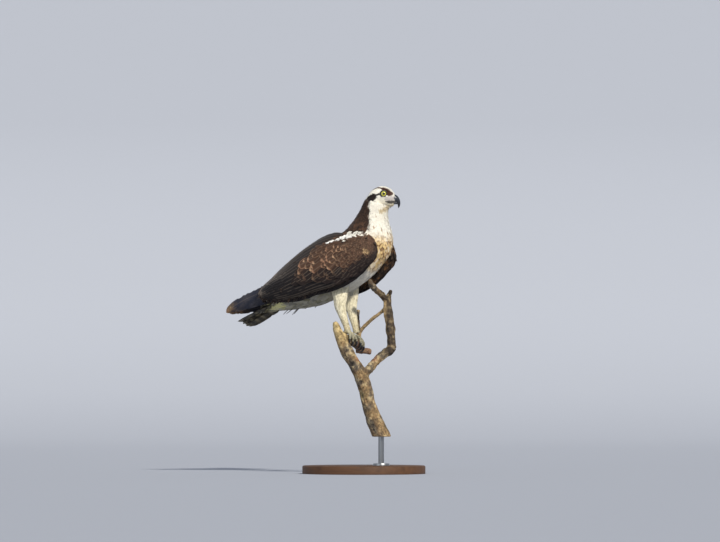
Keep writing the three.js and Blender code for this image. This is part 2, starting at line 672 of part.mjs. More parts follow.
const bodyGrown = bodyLoft(GAP);
let gripped = null; // the feet with their gap, which the branch keeps clear of
for (const [side, hand] of [[-1, "right"], [1, "left"]]) {
  add("eye_" + hand, eyeBall(side), "eye");
  const wing = wingShape(side, WING).subtract(bodyGrown).subtract(tailGrown).subtract(limbShape(side, THIGH, GAP));
  add("wing_" + hand, wing, "dark_feather");
  const tip = wingShape(side, WINGTIP, 0, 10, 4)
    .subtract(wingShape(side, WING, 2 * GAP))
    .subtract(bodyGrown)
    .subtract(tailGrown);
  add("primaries_" + hand, tip, "dark_feather");

  add("thigh_" + hand, limbShape(side, THIGH), "white_feather");
  const thighOut = limbShape(side, THIGH, GAP);
  let foot = null, claws = null, clawsOut = [];
  for (const toe of TOES) {
    const t = toeSolid(side, toe);
    foot = foot ? foot.add(t) : t;
    const out = toeSolid(side, toe, GAP).add(rod(clawPath(side, toe), [3.4, 3.2, 2.8, 2.2, 1.5, 0.9], 0, 5, 6));
    gripped = gripped ? gripped.add(out) : out;
  }
  // the ball of the foot, over the rung
  const f = { x: V(1, 0, 0), y: V(0, 1, 0), z: V(0, 0, 1) };
  const sole = rungAt(GRIP[1] + side * FOOT_APART);
  foot = foot.add(ellipsoid(V(sole.p.x - 0.5, GRIP[1] + side * FOOT_APART, sole.p.z + sole.radius + 5.6), [f.x, f.y, f.z], [9.5, 10, 5.2], 8, 5));
  const tarsusGrown = limbShape(side, TARSUS, GAP);
  const rungOut = branch(RUNG, GAP);
  foot = foot.subtract(tarsusGrown).subtract(rungOut);
  add("foot_" + hand, foot, "scales");
  add("tarsus_" + hand, limbShape(side, TARSUS).subtract(thighOut).subtract(rungOut), "scales");
  TOES.forEach((toe, i) => {
    add("claw_" + hand + "_" + toe.name, clawSolid(side, toe).subtract(toeSolid(side, toe, GAP)).subtract(rungOut), "claw");
  });
}

// The branch, parted where it forks.
const below = beyond(V(0, 0, CUT_HEIGHT), V(0, 0, -1));
const stem = branch(STEM, 0, 16, 12).subtract(below).subtract(gripped);
const stemOut = branch(STEM, GAP, 16, 12);
const rung = branch(RUNG).subtract(stemOut).subtract(gripped);
const rungOut = branch(RUNG, GAP);
const limbLower = branch(LIMB_LOWER).subtract(stemOut);
const limbLowerOut = branch(LIMB_LOWER, GAP);
const limbUpper = branch(LIMB_UPPER).subtract(limbLowerOut);
const limbUpperOut = branch(LIMB_UPPER, GAP);
const arm = branch(ARM).subtract(limbUpperOut);
const peg = branch(PEG).subtract(rungOut).subtract(gripped);
const pegOut = branch(PEG, GAP);
const spur = branch(SPUR).subtract(rungOut).subtract(pegOut).subtract(gripped);
const twig = branch(TWIG, 0, 10, 8).subtract(pegOut).subtract(rungOut).subtract(limbUpperOut).subtract(gripped);
add("perch_stem", stem, "bark");
add("perch_rung", rung, "bark");
add("perch_limb_lower", limbLower, "bark");
add("perch_limb_upper", limbUpper, "bark");
add("perch_arm", arm, "bark");
add("perch_peg", peg, "bark");
add("perch_spur", spur, "bark");
add("perch_twig", twig, "bark");

// The stand: a round base, a rod and the small collar that it screws into.
const cutCentre = onBranch(69.5, -25, CUT_HEIGHT - GRIP[2]);
const baseProfile = [
  new THREE.Vector2(0, 0),
  new THREE.Vector2(BASE_RADIUS, 0),
  new THREE.Vector2(BASE_RADIUS, BASE_THICK - BASE_CHAMFER),
  new THREE.Vector2(BASE_RADIUS - BASE_CHAMFER, BASE_THICK),
  new THREE.Vector2(0, BASE_THICK),
];
const baseGeometry = new THREE.LatheGeometry(baseProfile, 40);
baseGeometry.rotateX(Math.PI / 2);
add("stand_base", solid(baseGeometry), "stand_wood");
const rodFoot = BASE_THICK + GAP + FLANGE_THICK + GAP, rodTop = CUT_HEIGHT - GAP;
const flange = new THREE.CylinderGeometry(FLANGE_RADIUS - 1.5, FLANGE_RADIUS, FLANGE_THICK, 32);
flange.rotateX(Math.PI / 2);
flange.translate(cutCentre.x, cutCentre.y, BASE_THICK + GAP + FLANGE_THICK / 2);
add("stand_collar", solid(flange), "stand_steel");
const rodGeometry = new THREE.CylinderGeometry(ROD_RADIUS, ROD_RADIUS, rodTop - rodFoot, 24);
rodGeometry.rotateX(Math.PI / 2);
rodGeometry.translate(cutCentre.x, cutCentre.y, (rodTop + rodFoot) / 2);
add("stand_rod", solid(rodGeometry), "stand_steel");

export default model;
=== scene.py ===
import math

import bpy
import numpy as np
from mathutils import Matrix, Vector, noise
from mathutils.bvhtree import BVHTree


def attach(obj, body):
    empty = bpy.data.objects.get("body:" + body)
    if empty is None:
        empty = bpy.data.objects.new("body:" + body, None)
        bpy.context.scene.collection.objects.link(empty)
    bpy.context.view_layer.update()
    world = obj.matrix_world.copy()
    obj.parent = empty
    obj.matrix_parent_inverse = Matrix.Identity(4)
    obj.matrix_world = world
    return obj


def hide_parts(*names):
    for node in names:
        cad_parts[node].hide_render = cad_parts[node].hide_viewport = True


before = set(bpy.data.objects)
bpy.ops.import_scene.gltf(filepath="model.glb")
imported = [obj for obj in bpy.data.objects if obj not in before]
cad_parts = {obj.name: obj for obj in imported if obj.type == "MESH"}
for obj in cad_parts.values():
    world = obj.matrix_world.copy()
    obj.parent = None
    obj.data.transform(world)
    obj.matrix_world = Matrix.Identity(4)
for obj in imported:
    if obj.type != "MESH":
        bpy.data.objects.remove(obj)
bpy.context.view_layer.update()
rng = np.random.default_rng(11)

# ------------------------------------------------------------ camera, from the photo's framing
GRIP = np.array([-0.030, 0.0, 0.323])
AZ = math.radians(24)
TILT = math.radians(-3)
RIGHT = np.array([math.cos(AZ), math.sin(AZ), 0])
AWAY = np.array([-math.sin(AZ), math.cos(AZ), 0])
PX = 0.00245  # metres per photo pixel at the bird
FAR = 7.0
target = GRIP + RIGHT * (360 - 352.65) * PX + np.array([0, 0, (341.3 - 271) * PX])
look = AWAY * math.cos(TILT) + np.array([0, 0, -math.sin(TILT)])
cam_data = bpy.data.cameras.new("camera")
cam_data.sensor_width = 36
cam_data.lens = 36 * FAR / (720 * PX)
cam_data.clip_end = 100
cam = bpy.data.objects.new("camera", cam_data)
cam.location = Vector(target - look * FAR)
cam.rotation_euler = Vector(look).to_track_quat("-Z", "Y").to_euler()
bpy.context.collection.objects.link(cam)
bpy.context.scene.camera = cam


# ------------------------------------------------------------ small helpers
def rgb(r, g, b):
    c = np.array([r, g, b]) / 255.0
    return np.where(c <= 0.04045, c / 12.92, ((c + 0.055) / 1.055) ** 2.4)


def smooth(a, b, x):
    t = np.clip((x - a) / (b - a), 0, 1)
    return t * t * (3 - 2 * t)


def mix(a, b, w):
    w = np.asarray(w)[..., None]
    return np.asarray(a) * (1 - w) + np.asarray(b) * w


def unit(v):
    return v / np.maximum(np.linalg.norm(v, axis=-1, keepdims=True), 1e-12)


def capsule(x, y, x0, y0, x1, y1, w, soft):
    """1 near a line from one point to another, falling off over soft beyond w."""
    dx, dy = x1 - x0, y1 - y0
    t = np.clip(((x - x0) * dx + (y - y0) * dy) / (dx * dx + dy * dy), 0, 1)
    d = np.hypot(x - x0 - t * dx, y - y0 - t * dy)
    return 1 - smooth(w, w + soft, d)


def hash01(p, k=0.0):
    s = np.sin(p[..., 0] * 9127.1 + p[..., 1] * 7411.7 + p[..., 2] * 5273.3 + k) * 43758.5453
    return s - np.floor(s)


def wave(p, scale, k=0):
    """Cheap smooth variation from -1 to 1."""
    a = np.array([[1.0, 0.31, 0.17], [-0.42, 0.93, 0.37], [0.21, -0.53, 1.07]])
    q = p @ a.T * scale
    return (np.sin(q[..., 0] + k + 1.7 * np.sin(q[..., 1] * 0.7)) + np.sin(q[..., 1] * 1.3 + 2 * k) + np.sin(q[..., 2] * 1.1 - k + 1.3 * np.sin(q[..., 0] * 0.6))) / 3


def photo_xy(p):
    """Where a point falls on the photo's side view. The far side mirrors the near side."""
    q = p - GRIP
    y = -np.abs(q[..., 1])
    return 352.65 + (q[..., 0] * math.cos(AZ) + y * math.sin(AZ)) / PX, 341.3 - q[..., 2] / PX


def along(values, t):
    v = np.asarray(values, float)
    n = len(v) - 1
    x = np.clip(t, 0, 1) * n
    i = np.minimum(x.astype(int), n - 1)
    u = x - i
    a, b = v[i], v[i + 1]
    ma = np.where(i > 0, (b - v[np.maximum(i - 1, 0)]) / 2, b - a)
    mb = np.where(i < n - 1, (v[np.minimum(i + 2, n)] - a) / 2, b - a)
    return (2 * u**3 - 3 * u**2 + 1) * a + (u**3 - 2 * u**2 + u) * ma + (3 * u**2 - 2 * u**3) * b + (u**3 - u**2) * mb


def make(name, verts, faces, materials, colour=None, tip=None, uv=None, bake_uv=None, face_mat=None, shade=True):
    me = bpy.data.meshes.new(name)
    v = np.asarray(verts, np.float32)
    f = np.asarray(faces, np.int32)
    n = f.shape[1]
    me.vertices.add(len(v))
    me.vertices.foreach_set("co", v.ravel())
    me.loops.add(f.size)
    me.loops.foreach_set("vertex_index", f.ravel())
    me.polygons.add(len(f))
    me.polygons.foreach_set("loop_start", np.arange(len(f), dtype=np.int32) * n)
    for m in materials:
        me.materials.append(m)
    if face_mat is not None:
        me.polygons.foreach_set("material_index", np.asarray(face_mat, np.int32))
    me.update(calc_edges=True)
    me.validate()
    for label, data in (("Col", colour), ("Tip", tip)):
        if data is not None:
            a = me.color_attributes.new(label, "FLOAT_COLOR", "POINT")
            c = np.ones((len(v), 4), np.float32)
            c[:, : data.shape[1]] = data
            a.data.foreach_set("color", c.ravel())
    loops = np.empty(len(me.loops), np.int32)
    me.loops.foreach_get("vertex_index", loops)
    for label, data in (("OFBake", bake_uv), ("vane", uv)):
        if data is not None:
            layer = me.uv_layers.new(name=label)
            layer.data.foreach_set("uv", np.asarray(data, np.float32)[loops].ravel())
    if shade:
        me.shade_smooth()
    ob = bpy.data.objects.new(name, me)
    bpy.context.collection.objects.link(ob)
    return ob


def nodes_mesh(names):
    vs, fs, base = [], [], 0
    for n in names:
        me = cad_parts[n].data
        mw = np.array(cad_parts[n].matrix_world)
        v = np.empty(len(me.vertices) * 3, np.float32)
        me.vertices.foreach_get("co", v)
        v = v.reshape(-1, 3) @ mw[:3, :3].T + mw[:3, 3]
        me.calc_loop_triangles()
        f = np.empty(len(me.loop_triangles) * 3, np.int32)
        me.loop_triangles.foreach_get("vertices", f)
        vs.append(v)
        fs.append(f.reshape(-1, 3) + base)
        base += len(v)
    return np.vstack(vs), np.vstack(fs)


def weld(v, f, size=2e-5):
    _, first, inv = np.unique(np.round(v / size).astype(np.int64), axis=0, return_index=True, return_inverse=True)
    f = inv.reshape(-1)[f]
    ok = (f[:, 0] != f[:, 1]) & (f[:, 1] != f[:, 2]) & (f[:, 0] != f[:, 2])
    return v[first], f[ok]


def fuse(name, names, voxel, times=4, factor=0.5):
    """One skin round several CAD solids."""
    v, f = weld(*nodes_mesh(names))
    ob = make(name, v, f, [])
    m = ob.modifiers.new("fuse", "REMESH")
    m.mode = "VOXEL"
    m.voxel_size = voxel
    s = ob.modifiers.new("ease", "SMOOTH")
    s.factor = factor
    s.iterations = times
    dg = bpy.context.evaluated_depsgraph_get()
    me = bpy.data.meshes.new_from_object(ob.evaluated_get(dg))
    ob.modifiers.clear()
    ob.data = me
    me.shade_smooth()
    return ob


def coords(me):
    v = np.empty(len(me.vertices) * 3, np.float32)
    me.vertices.foreach_get("co", v)
    n = np.empty(len(me.vertices) * 3, np.float32)
    me.vertices.foreach_get("normal", n)
    return v.reshape(-1, 3).astype(float), n.reshape(-1, 3).astype(float)


def put(me, v):
    me.vertices.foreach_set("co", np.asarray(v, np.float32).ravel())
    me.update()


def tint(me, c):
    a = me.color_attributes.get("Col") or me.color_attributes.new("Col", "FLOAT_COLOR", "POINT")
    full = np.ones((len(me.vertices), 4), np.float32)
    full[:, :3] = c
    a.data.foreach_set("color", full.ravel())


# ------------------------------------------------------------ materials
def shader(name, **sockets):
    m = bpy.data.materials.new(name)
    m.use_nodes = True
    b = m.node_tree.nodes["Principled BSDF"]
    for k, v in sockets.items():
        b.inputs[k.replace("_", " ")].default_value = v
    return m, m.node_tree, b


def node(t, kind, **values):
    n = t.nodes.new(kind)
    for k, v in values.items():
        if hasattr(n, k):
            setattr(n, k, v)
        else:
            n.inputs[k.replace("_", " ")].default_value = v
    return n


def attribute(t, name):
    return node(t, "ShaderNodeAttribute", attribute_name=name)


def maths(t, op, a, b=None, clamp=False):
    n = node(t, "ShaderNodeMath", operation=op, use_clamp=clamp)
    for i, x in enumerate((a, b)):
        if x is None:
            continue
        if isinstance(x, (int, float)):
            n.inputs[i].default_value = x
        else:
            t.links.new(x, n.inputs[i])
    return n.outputs[0]


def blend(t, fac, a, b, mode="MIX"):
    n = node(t, "ShaderNodeMix", data_type="RGBA", blend_type=mode)
    for sock, x in ((n.inputs[0], fac), (n.inputs[6], a), (n.inputs[7], b)):
        if hasattr(x, "is_output"):
            t.links.new(x, sock)
        elif isinstance(x, (int, float)):
            sock.default_value = x
        else:
            sock.default_value = (*x, 1)
    return n.outputs[2]


def feather_material(name, fringe=0.22, shaft=0.12, barbs=26.0, bump=0.35, rough=0.62):
    m, t, b = shader(name, Roughness=rough, Sheen_Weight=0.04, Sheen_Roughness=0.5, Specular_IOR_Level=0.15)
    uv = node(t, "ShaderNodeUVMap", uv_map="vane")
    sep = node(t, "ShaderNodeSeparateXYZ")
    t.links.new(uv.outputs[0], sep.inputs[0])
    x, y = sep.outputs[0], sep.outputs[1]
    side = maths(t, "ABSOLUTE", maths(t, "SUBTRACT", x, 0.5))  # 0 at the shaft, 0.5 at the edge
    edge = maths(t, "MAXIMUM", maths(t, "MULTIPLY", side, 2), maths(t, "MULTIPLY", y, 1.0))
    rim = node(t, "ShaderNodeMapRange", interpolation_type="SMOOTHSTEP")
    rim.inputs["From Min"].default_value = 1 - fringe
    rim.inputs["From Max"].default_value = 1 - fringe * 0.35
    t.links.new(edge, rim.inputs["Value"])
    col, tipc = attribute(t, "Col"), attribute(t, "Tip")
    out = blend(t, rim.outputs[0], col.outputs["Color"], tipc.outputs["Color"])
    line = maths(t, "LESS_THAN", side, 0.035)
    out = blend(t, maths(t, "MULTIPLY", line, shaft), out, (0.3, 0.24, 0.18))
    n = node(t, "ShaderNodeTexNoise", Scale=160.0, Detail=3.0)
    t.links.new(node(t, "ShaderNodeTexCoord").outputs["Object"], n.inputs["Vector"])
    shade = node(t, "ShaderNodeMapRange")
    shade.inputs["To Min"].default_value = 0.72
    shade.inputs["To Max"].default_value = 1.25
    t.links.new(n.outputs[0], shade.inputs["Value"])
    gray = node(t, "ShaderNodeCombineColor")
    for i in range(3):
        t.links.new(shade.outputs[0], gray.inputs[i])
    out = blend(t, 1.0, out, gray.outputs[0], "MULTIPLY")
    slant = maths(t, "ADD", maths(t, "MULTIPLY", y, barbs), maths(t, "MULTIPLY", side, -barbs * 0.9))
    ridge = maths(t, "SINE", maths(t, "MULTIPLY", slant, 6.283))
    bp = node(t, "ShaderNodeBump", Strength=bump, Distance=0.0003)
    t.links.new(ridge, bp.inputs["Height"])
    t.links.new(bp.outputs[0], b.inputs["Normal"])
    t.links.new(out, b.inputs["Base Color"])
    return m


def painted(name, scale=200.0, low=0.8, high=1.2, bump=0.0, distance=0.0004, **sockets):
    m, t, b = shader(name, **sockets)
    col = attribute(t, "Col")
    n = node(t, "ShaderNodeTexNoise", Scale=scale, Detail=4.0)
    t.links.new(node(t, "ShaderNodeTexCoord").outputs["Object"], n.inputs["Vector"])
    r = node(t, "ShaderNodeMapRange")
    r.inputs["From Min"].default_value = 0.25
    r.inputs["From Max"].default_value = 0.75
    r.inputs["To Min"].default_value = low
    r.inputs["To Max"].default_value = high
    t.links.new(n.outputs[0], r.inputs["Value"])
    gray = node(t, "ShaderNodeCombineColor")
    for i in range(3):
        t.links.new(r.outputs[0], gray.inputs[i])
    t.links.new(blend(t, 1.0, col.outputs["Color"], gray.outputs[0], "MULTIPLY"), b.inputs["Base Color"])
    if bump:
        bp = node(t, "ShaderNodeBump", Strength=bump, Distance=distance)
        t.links.new(n.outputs[0], bp.inputs["Height"])
        t.links.new(bp.outputs[0], b.inputs["Normal"])
    return m


SMALL = feather_material("body_feather", fringe=0.3, shaft=0.0, barbs=7.0, bump=0.25, rough=0.7)
COVERT = feather_material("covert_feather", fringe=0.19, shaft=0.25, barbs=14.0, bump=0.3)
FLIGHT = feather_material("flight_feather", fringe=0.12, shaft=0.16, barbs=70.0, bump=0.25, rough=0.5)
SKIN = painted("skin", Roughness=0.8)
SCALY = painted("scaly_skin", scale=420.0, low=0.7, high=1.2, bump=0.5, Roughness=0.55)
HORN = painted("horn", scale=90.0, low=0.85, high=1.15, bump=0.05, Roughness=0.28, Coat_Weight=0.3)
LID = painted("lid", scale=300.0, low=0.7, high=1.2, bump=0.3, Roughness=0.5)

WHITE = rgb(233, 229, 216)
CREAM = rgb(216, 205, 178)
BROWN = rgb(46, 35, 29)
RUFOUS = rgb(84, 61, 46)
BUFF = rgb(208, 172, 104)
COVER = rgb(62, 44, 34)
FRINGE = rgb(184, 148, 116)
BLACK = rgb(27, 22, 23)
SECOND = rgb(88, 78, 71)
PRIMARY = rgb(40, 42, 54)
TAIL_DARK = rgb(56, 51, 41)

# ------------------------------------------------------------ body description, shared by the lie of the feathers and their marks
BACK = np.array([[-236, 101], [-204, 139], [-166, 174], [-126, 208], [-90, 232], [-60, 250], [-37, 260], [-20, 269], [-8, 279], [1, 289], [8, 298], [15, 308], [22, 319], [28, 331], [34, 345], [43, 356]]) / 1000
BELLY = np.array([[-240, 86], [-208, 77], [-166, 79], [-122, 83], [-76, 91], [-44, 106], [-6, 122], [36, 147], [65, 173], [93, 203], [105, 236], [102, 265], [94, 290], [92, 308], [93, 324], [89, 342]]) / 1000
TS = np.linspace(0, 1, 160)
B_LINE = np.stack([along(BACK[:, 0], TS), along(BACK[:, 1], TS)], 1)
V_LINE = np.stack([along(BELLY[:, 0], TS), along(BELLY[:, 1], TS)], 1)


def body_tq(p):
    """Station along the body, 0 at the tail and 1 in the head, and share of the way from the back to the belly."""
    q = (p - GRIP)[:, [0, 2]]
    ab = V_LINE - B_LINE
    rel = q[:, None, :] - B_LINE[None]
    s = np.clip((rel * ab[None]).sum(2) / (ab * ab).sum(1)[None], -0.1, 1.1)
    d = np.linalg.norm(rel - s[..., None] * ab[None], axis=2)
    i = d.argmin(1)
    return TS[i], np.clip(s[np.arange(len(i)), i], 0, 1)


def body_lie(t, q):
    e = 0.03
    g = lambda L: np.stack([along(L[:, 0], np.clip(t - e, 0, 1)) - along(L[:, 0], np.clip(t + e, 0, 1)), 0 * t, along(L[:, 1], np.clip(t - e, 0, 1)) - along(L[:, 1], np.clip(t + e, 0, 1))], 1)
    d = unit(g(BACK)) * (1 - q[:, None]) + unit(g(BELLY)) * q[:, None]
    # down the front the feathers hang rather than follow the station lines
    front = smooth(0.5, 0.8, t) * smooth(0.3, 0.8, q)
    return unit(d + front[:, None] * np.array([0, 0, -0.6]))


YAW = math.radians(12)
H0 = GRIP + np.array([0.0848, 0.005, 0.3604])
H_AHEAD = np.array([math.cos(YAW), math.sin(YAW), 0])
H_LEFT = np.array([-math.sin(YAW), math.cos(YAW), 0])


def on_head(a, l, u):
    return H0 + H_AHEAD * a / 1000 + H_LEFT * l / 1000 + np.array([0, 0, u / 1000])


def head_alu(p):
    q = (p - H0) * 1000
    return q @ H_AHEAD, q @ H_LEFT, q[:, 2]


EYE = {s: on_head(-0.8, s * 17.6, -2.8) for s in (-1, 1)}
EYE_AXIS = {s: unit(H_AHEAD * math.cos(math.radians(74)) + H_LEFT * s * math.sin(math.radians(74)) + np.array([0, 0, 0.03])) for s in (-1, 1)}


# ------------------------------------------------------------ marks
def head_colour(p):
    a, l, h = head_alu(p)
    al = np.abs(l)
    c = np.tile(WHITE, (len(p), 1))
    c = mix(c, CREAM, 0.7 * smooth(-4, -24, h) * smooth(-26, 4, a))
    c = mix(c, rgb(186, 172, 150), 0.45 * smooth(0.15, 0.7, wave(p, 330, 5)) * smooth(2, -14, h))
    v = wave(p, 900, 1) * 0.5 + 0.5
    side = smooth(6, 10, al)
    stripe = np.maximum.reduce([
        capsule(a, h, -9, -3.6, -18, -5.2, 1.5, 1.6),
        capsule(a, h, -21, -8, -30, -15, 7.2, 2.0),
        capsule(a, h, -30, -15, -46, -32, 10.5, 2.4),
    ]) * smooth(11, 14, al)
    brow = np.maximum.reduce([
        capsule(a, h, 8, 2.4, 17, -1.8, 4.6, 1.6),
        capsule(a, h, 1, 9.0, 11, 5.0, 2.8, 1.5),
        capsule(a, h, -12, 14.2, 0, 9.6, 1.2, 1.0),
        capsule(a, h, -25, 10.4, -12, 14.2, 0.9, 0.9),
    ]) * side
    c = mix(c, rgb(176, 168, 170), 0.7 * capsule(a, h, 9, -12.5, 28, -13, 4.0, 2.2) * smooth(1.5, 4, al))
    c = mix(c, rgb(72, 46, 36), brow)
    c = mix(c, mix(BROWN, BLACK, 0.7 + 0 * v), stripe)
    gape = np.maximum(capsule(a, h, 7, -19.6, 16, -20.8, 0.9, 1.3), capsule(a, h, 13, -21, 31, -22.6, 2.7, 1.4)) * smooth(1.5, 4, al)
    c = mix(c, rgb(46, 43, 46), 0.92 * gape)
    c = mix(c, rgb(214, 198, 160), 0.5 * capsule(a, h, 24, -29, 4, -34, 3.0, 3.0))
    # painted shade under the chin: a golden-olive patch below the lower bill
    return mix(c, rgb(166, 138, 78), 0.75 * capsule(a, h, 11, -35, -4, -43, 2.6, 3.0))


def body_colour(p, t, q):
    x, y = photo_xy(p)
    rnd = hash01(p)
    v = wave(p, 260, 2)
    edge = np.interp(y, [196, 204, 212, 219, 225, 229, 232, 236], [367, 371, 369.5, 371, 372, 370, 361, 345]) + 1.4 * v
    brown = smooth(edge + 1.3, edge - 1.3, x) * smooth(0.62, 0.5, q)
    back = smooth(0.32, 0.22, q) * smooth(0.55, 0.45, t)
    brown = np.maximum(brown * smooth(0.28, 0.42, t), back)
    c = np.tile(WHITE, (len(p), 1))
    # painted shade under the wing: the rear belly is darkened to olive, with random darker streaks in it
    c = mix(c, mix(rgb(94, 88, 52), rgb(44, 41, 27), 0.85 * (rnd > 0.6)), 0.92 * smooth(0.5, 0.34, t) * (0.8 + 0.2 * v))
    c = mix(c, rgb(216, 210, 150), 0.9 * capsule(x, y, 277, 305.5, 288, 303.5, 2.4, 1.6))
    # painted shade under the chin, where it reaches the neck feathers: the same golden-olive patch
    c = mix(c, rgb(172, 144, 84), 0.65 * capsule(x, y, 387, 207, 380.5, 211, 1.3, 1.5))
    band = smooth(228, 243, y) * smooth(272, 262, y) * smooth(362, 374, x)
    c = mix(c, BUFF, band * (0.45 + 0.4 * (v > -0.3)))
    streak = band * (rnd > 0.66)
    c = mix(c, rgb(116, 80, 46), 0.85 * streak)
    low = smooth(245, 252, y) * smooth(276, 268, y) * smooth(380, 388, x)
    c = mix(c, rgb(140, 104, 58), 0.4 * low)
    fleck = (rnd > 0.975) & (y < 236) & (y > 214)
    c = mix(c, rgb(150, 118, 84), 0.7 * fleck)
    b = mix(BROWN, RUFOUS, smooth(0.55, 0.95, rnd) * smooth(0.5, 0.7, t))
    b = mix(b, BLACK, 0.45 * smooth(0.5, 0.2, t) * smooth(0.4, 0.1, rnd))
    b = mix(b, BLACK, 0.75 * smooth(228, 208, y) * smooth(373, 367, x))
    return mix(c, b, brown), brown


# ------------------------------------------------------------ skin
FLESH = ["head", "neck", "trunk", "thigh_right", "thigh_left", "tarsus_right", "tarsus_left", "wing_right", "wing_left"]
skin = fuse("skin", FLESH, 0.0022, times=6)
sv, sn = coords(skin.data)
full_tree = BVHTree.FromPolygons([Vector(x) for x in sv], [tuple(p.vertices) for p in skin.data.polygons])


def cad_tree(names):
    v, f = nodes_mesh(names)
    return BVHTree.FromPolygons([Vector(x) for x in v], f.tolist())


WING_TREE = cad_tree(["wing_right", "wing_left"])
TRUNK_TREE = cad_tree(["trunk", "neck", "head", "thigh_right", "thigh_left"])
BODY_TREE = cad_tree(["trunk", "neck", "head"])
LEG_TREE = cad_tree(["thigh_right", "thigh_left", "tarsus_right", "tarsus_left"])


def gap_to(tree, p):
    return np.array([tree.find_nearest(Vector(x))[3] for x in p])


def region(p):
    """0 head, 1 neck and trunk, 3 leg."""
    a, l, h = head_alu(p)
    out = np.ones(len(p), int)
    out[(a * 0.3 + h * 0.95) > -25] = 0
    low = p[:, 2] < GRIP[2] + 0.15
    if low.any():
        leg = gap_to(LEG_TREE, p[low]) < gap_to(BODY_TREE, p[low])
        out[np.flatnonzero(low)[leg]] = 3
    return out


def wing_surface(side, t, q, tip=False):
    """Outer face of the folded wing, right if side is -1: t from the wrist back, q from its upper edge down."""
    if tip:
        up = np.array([[-186, 34, 140], [-230, 24, 130], [-262, 17, 121], [-290, 12.5, 111], [-316, 9, 98], [-334, 7, 86], [-344, 6, 77]])
        lo = np.array([[-180, 36, 104], [-226, 29, 99], [-258, 23, 91], [-286, 17.5, 84], [-312, 12.5, 77], [-332, 9, 74], [-343, 6.6, 73.5]])
        reach = None
    else:
        up = np.array([[84, 53, 243], [64, 48, 256], [28, 41, 263], [-14, 35, 263], [-56, 31, 255], [-96, 27, 237], [-137, 23, 212], [-178, 19, 182], [-216, 15.5, 153], [-243, 13, 133]])
        lo = np.array([[91, 55, 216], [84, 58, 196], [58, 62, 174], [20, 63, 145], [-24, 61, 128], [-70, 57, 118], [-116, 51, 106], [-160, 45, 100], [-200, 38, 99], [-228, 30, 101]])
        reach = [58, 66, 71, 74, 73.5, 70, 64, 55, 45, 34]
    u = np.stack([along(up[:, i], t) for i in range(3)], -1)
    w = np.stack([along(lo[:, i], t) for i in range(3)], -1)
    over = np.maximum(t - 1, 0)[..., None]
    u = u + over * (up[-1] - up[-2]) * (len(up) - 1)
    w = w + over * (lo[-1] - lo[-2]) * (len(up) - 1)
    if side > 0:
        drop = 6.4 * np.minimum(1, 1.6 - 1.4 * np.clip(t, 0, 1))
        u = u + np.stack([3.3 + 0 * t, 0 * t, -drop], -1)
        w = w + np.stack([3.3 + 0 * t, 0 * t, -drop], -1)
    flat = (u[..., 1] + w[..., 1]) / 2
    r = along(reach, t) if reach else flat + 1.5
    bow = np.sin(math.pi * np.minimum(1, 0.04 + 0.92 * np.clip(q, 0, 1) ** 0.85)) ** 0.75
    p = u + (w - u) * q[..., None]
    p[..., 1] = u[..., 1] + (w[..., 1] - u[..., 1]) * q + (r - flat) * bow
    p[..., 1] *= side
    return GRIP + p / 1000


# ------------------------------------------------------------ feathers
def nearest(P):
    pts, nrm = np.empty_like(P), np.empty_like(P)
    find = full_tree.find_nearest
    for i, p in enumerate(P):
        a, b, _, _ = find(Vector(p))
        pts[i] = a
        nrm[i] = b
    return pts, nrm


def profile(t, tipness=0.5):
    base = np.clip(t / 0.22, 0, 1) ** 0.6
    end = np.sqrt(np.clip(1 - (np.clip(t - tipness, 0, 1) / (1 - tipness)) ** 2.4, 0, 1))
    return base * end


def lay(name, P, N, D, L, W, col, tip, material, bake, lift=0.0012, sink=0.0006, nl=5, ns=3, bow=0.18, tipness=0.5, jitter=0.1, follow=True):
    """Joined vanes, one for each root. They follow the skin from root to tip and rise over the next ones."""
    n = len(P)
    D = D - (D * N).sum(1, keepdims=True) * N
    D = unit(D)
    ang = rng.normal(0, jitter, n)[:, None]
    D = unit(D * np.cos(ang) + np.cross(N, D) * np.sin(ang))
    L = (L * rng.uniform(0.86, 1.14, n))[:, None]
    if follow:
        pm, nm = nearest(P + D * L * 0.5)
        p1, n1 = nearest(P + D * L)
    else:
        pm, nm, p1, n1 = P + D * L * 0.5, N, P + D * L, N
    # a vane never folds back on itself where the skin ends
    far = np.linalg.norm(p1 - (P + D * L), axis=1, keepdims=True)
    p1 = np.where(far > 0.35 * L, P + D * L + (p1 - P - D * L) * 0.25, p1)
    n1 = np.where(far > 0.35 * L, unit(N * 0.4 + n1 * 0.6), n1)
    t = np.linspace(0, 1, nl)[None, :, None]
    A, B, C = (2 * (t - 0.5) * (t - 1)), (-4 * t * (t - 1)), (2 * t * (t - 0.5))
    S = A * P[:, None] + B * pm[:, None] + C * p1[:, None]
    M = unit(A * N[:, None] + B * nm[:, None] + C * n1[:, None])
    rise = (lift * rng.uniform(0.75, 1.3, n))[:, None, None]
    S = S + M * (-sink + (sink + rise) * t**0.8)
    T = unit(np.gradient(S, axis=1))
    side = unit(np.cross(M, T))
    s = np.linspace(-1, 1, ns)[None, None, :, None]
    w = (W * rng.uniform(0.9, 1.1, n))[:, None, None, None] * 0.5 * profile(np.linspace(0, 1, nl), tipness)[None, :, None, None]
    V = S[:, :, None, :] + side[:, :, None, :] * s * w - M[:, :, None, :] * (s * s) * w * bow
    verts = V.reshape(-1, 3)
    k = nl * ns
    i, j = np.meshgrid(np.arange(nl - 1), np.arange(ns - 1), indexing="ij")
    a = (i * ns + j).ravel()
    quad = np.stack([a, a + 1, a + 1 + ns, a + ns], 1)
    faces = (quad[None] + (np.arange(n) * k)[:, None, None]).reshape(-1, 4)
    U = np.zeros((n, nl, ns, 2))
    U[..., 0] = np.linspace(0, 1, ns)[None, None, :]
    U[..., 1] = np.linspace(0, 1, nl)[None, :, None]
    patch = bake[:, None, None, :] + (U - 0.5) * 0.003
    rep = lambda c: np.repeat(c, k, axis=0)
    return make(name, verts, faces, [material], colour=rep(col), tip=rep(tip), uv=U.reshape(-1, 2), bake_uv=np.clip(patch, 0.001, 0.999).reshape(-1, 2))


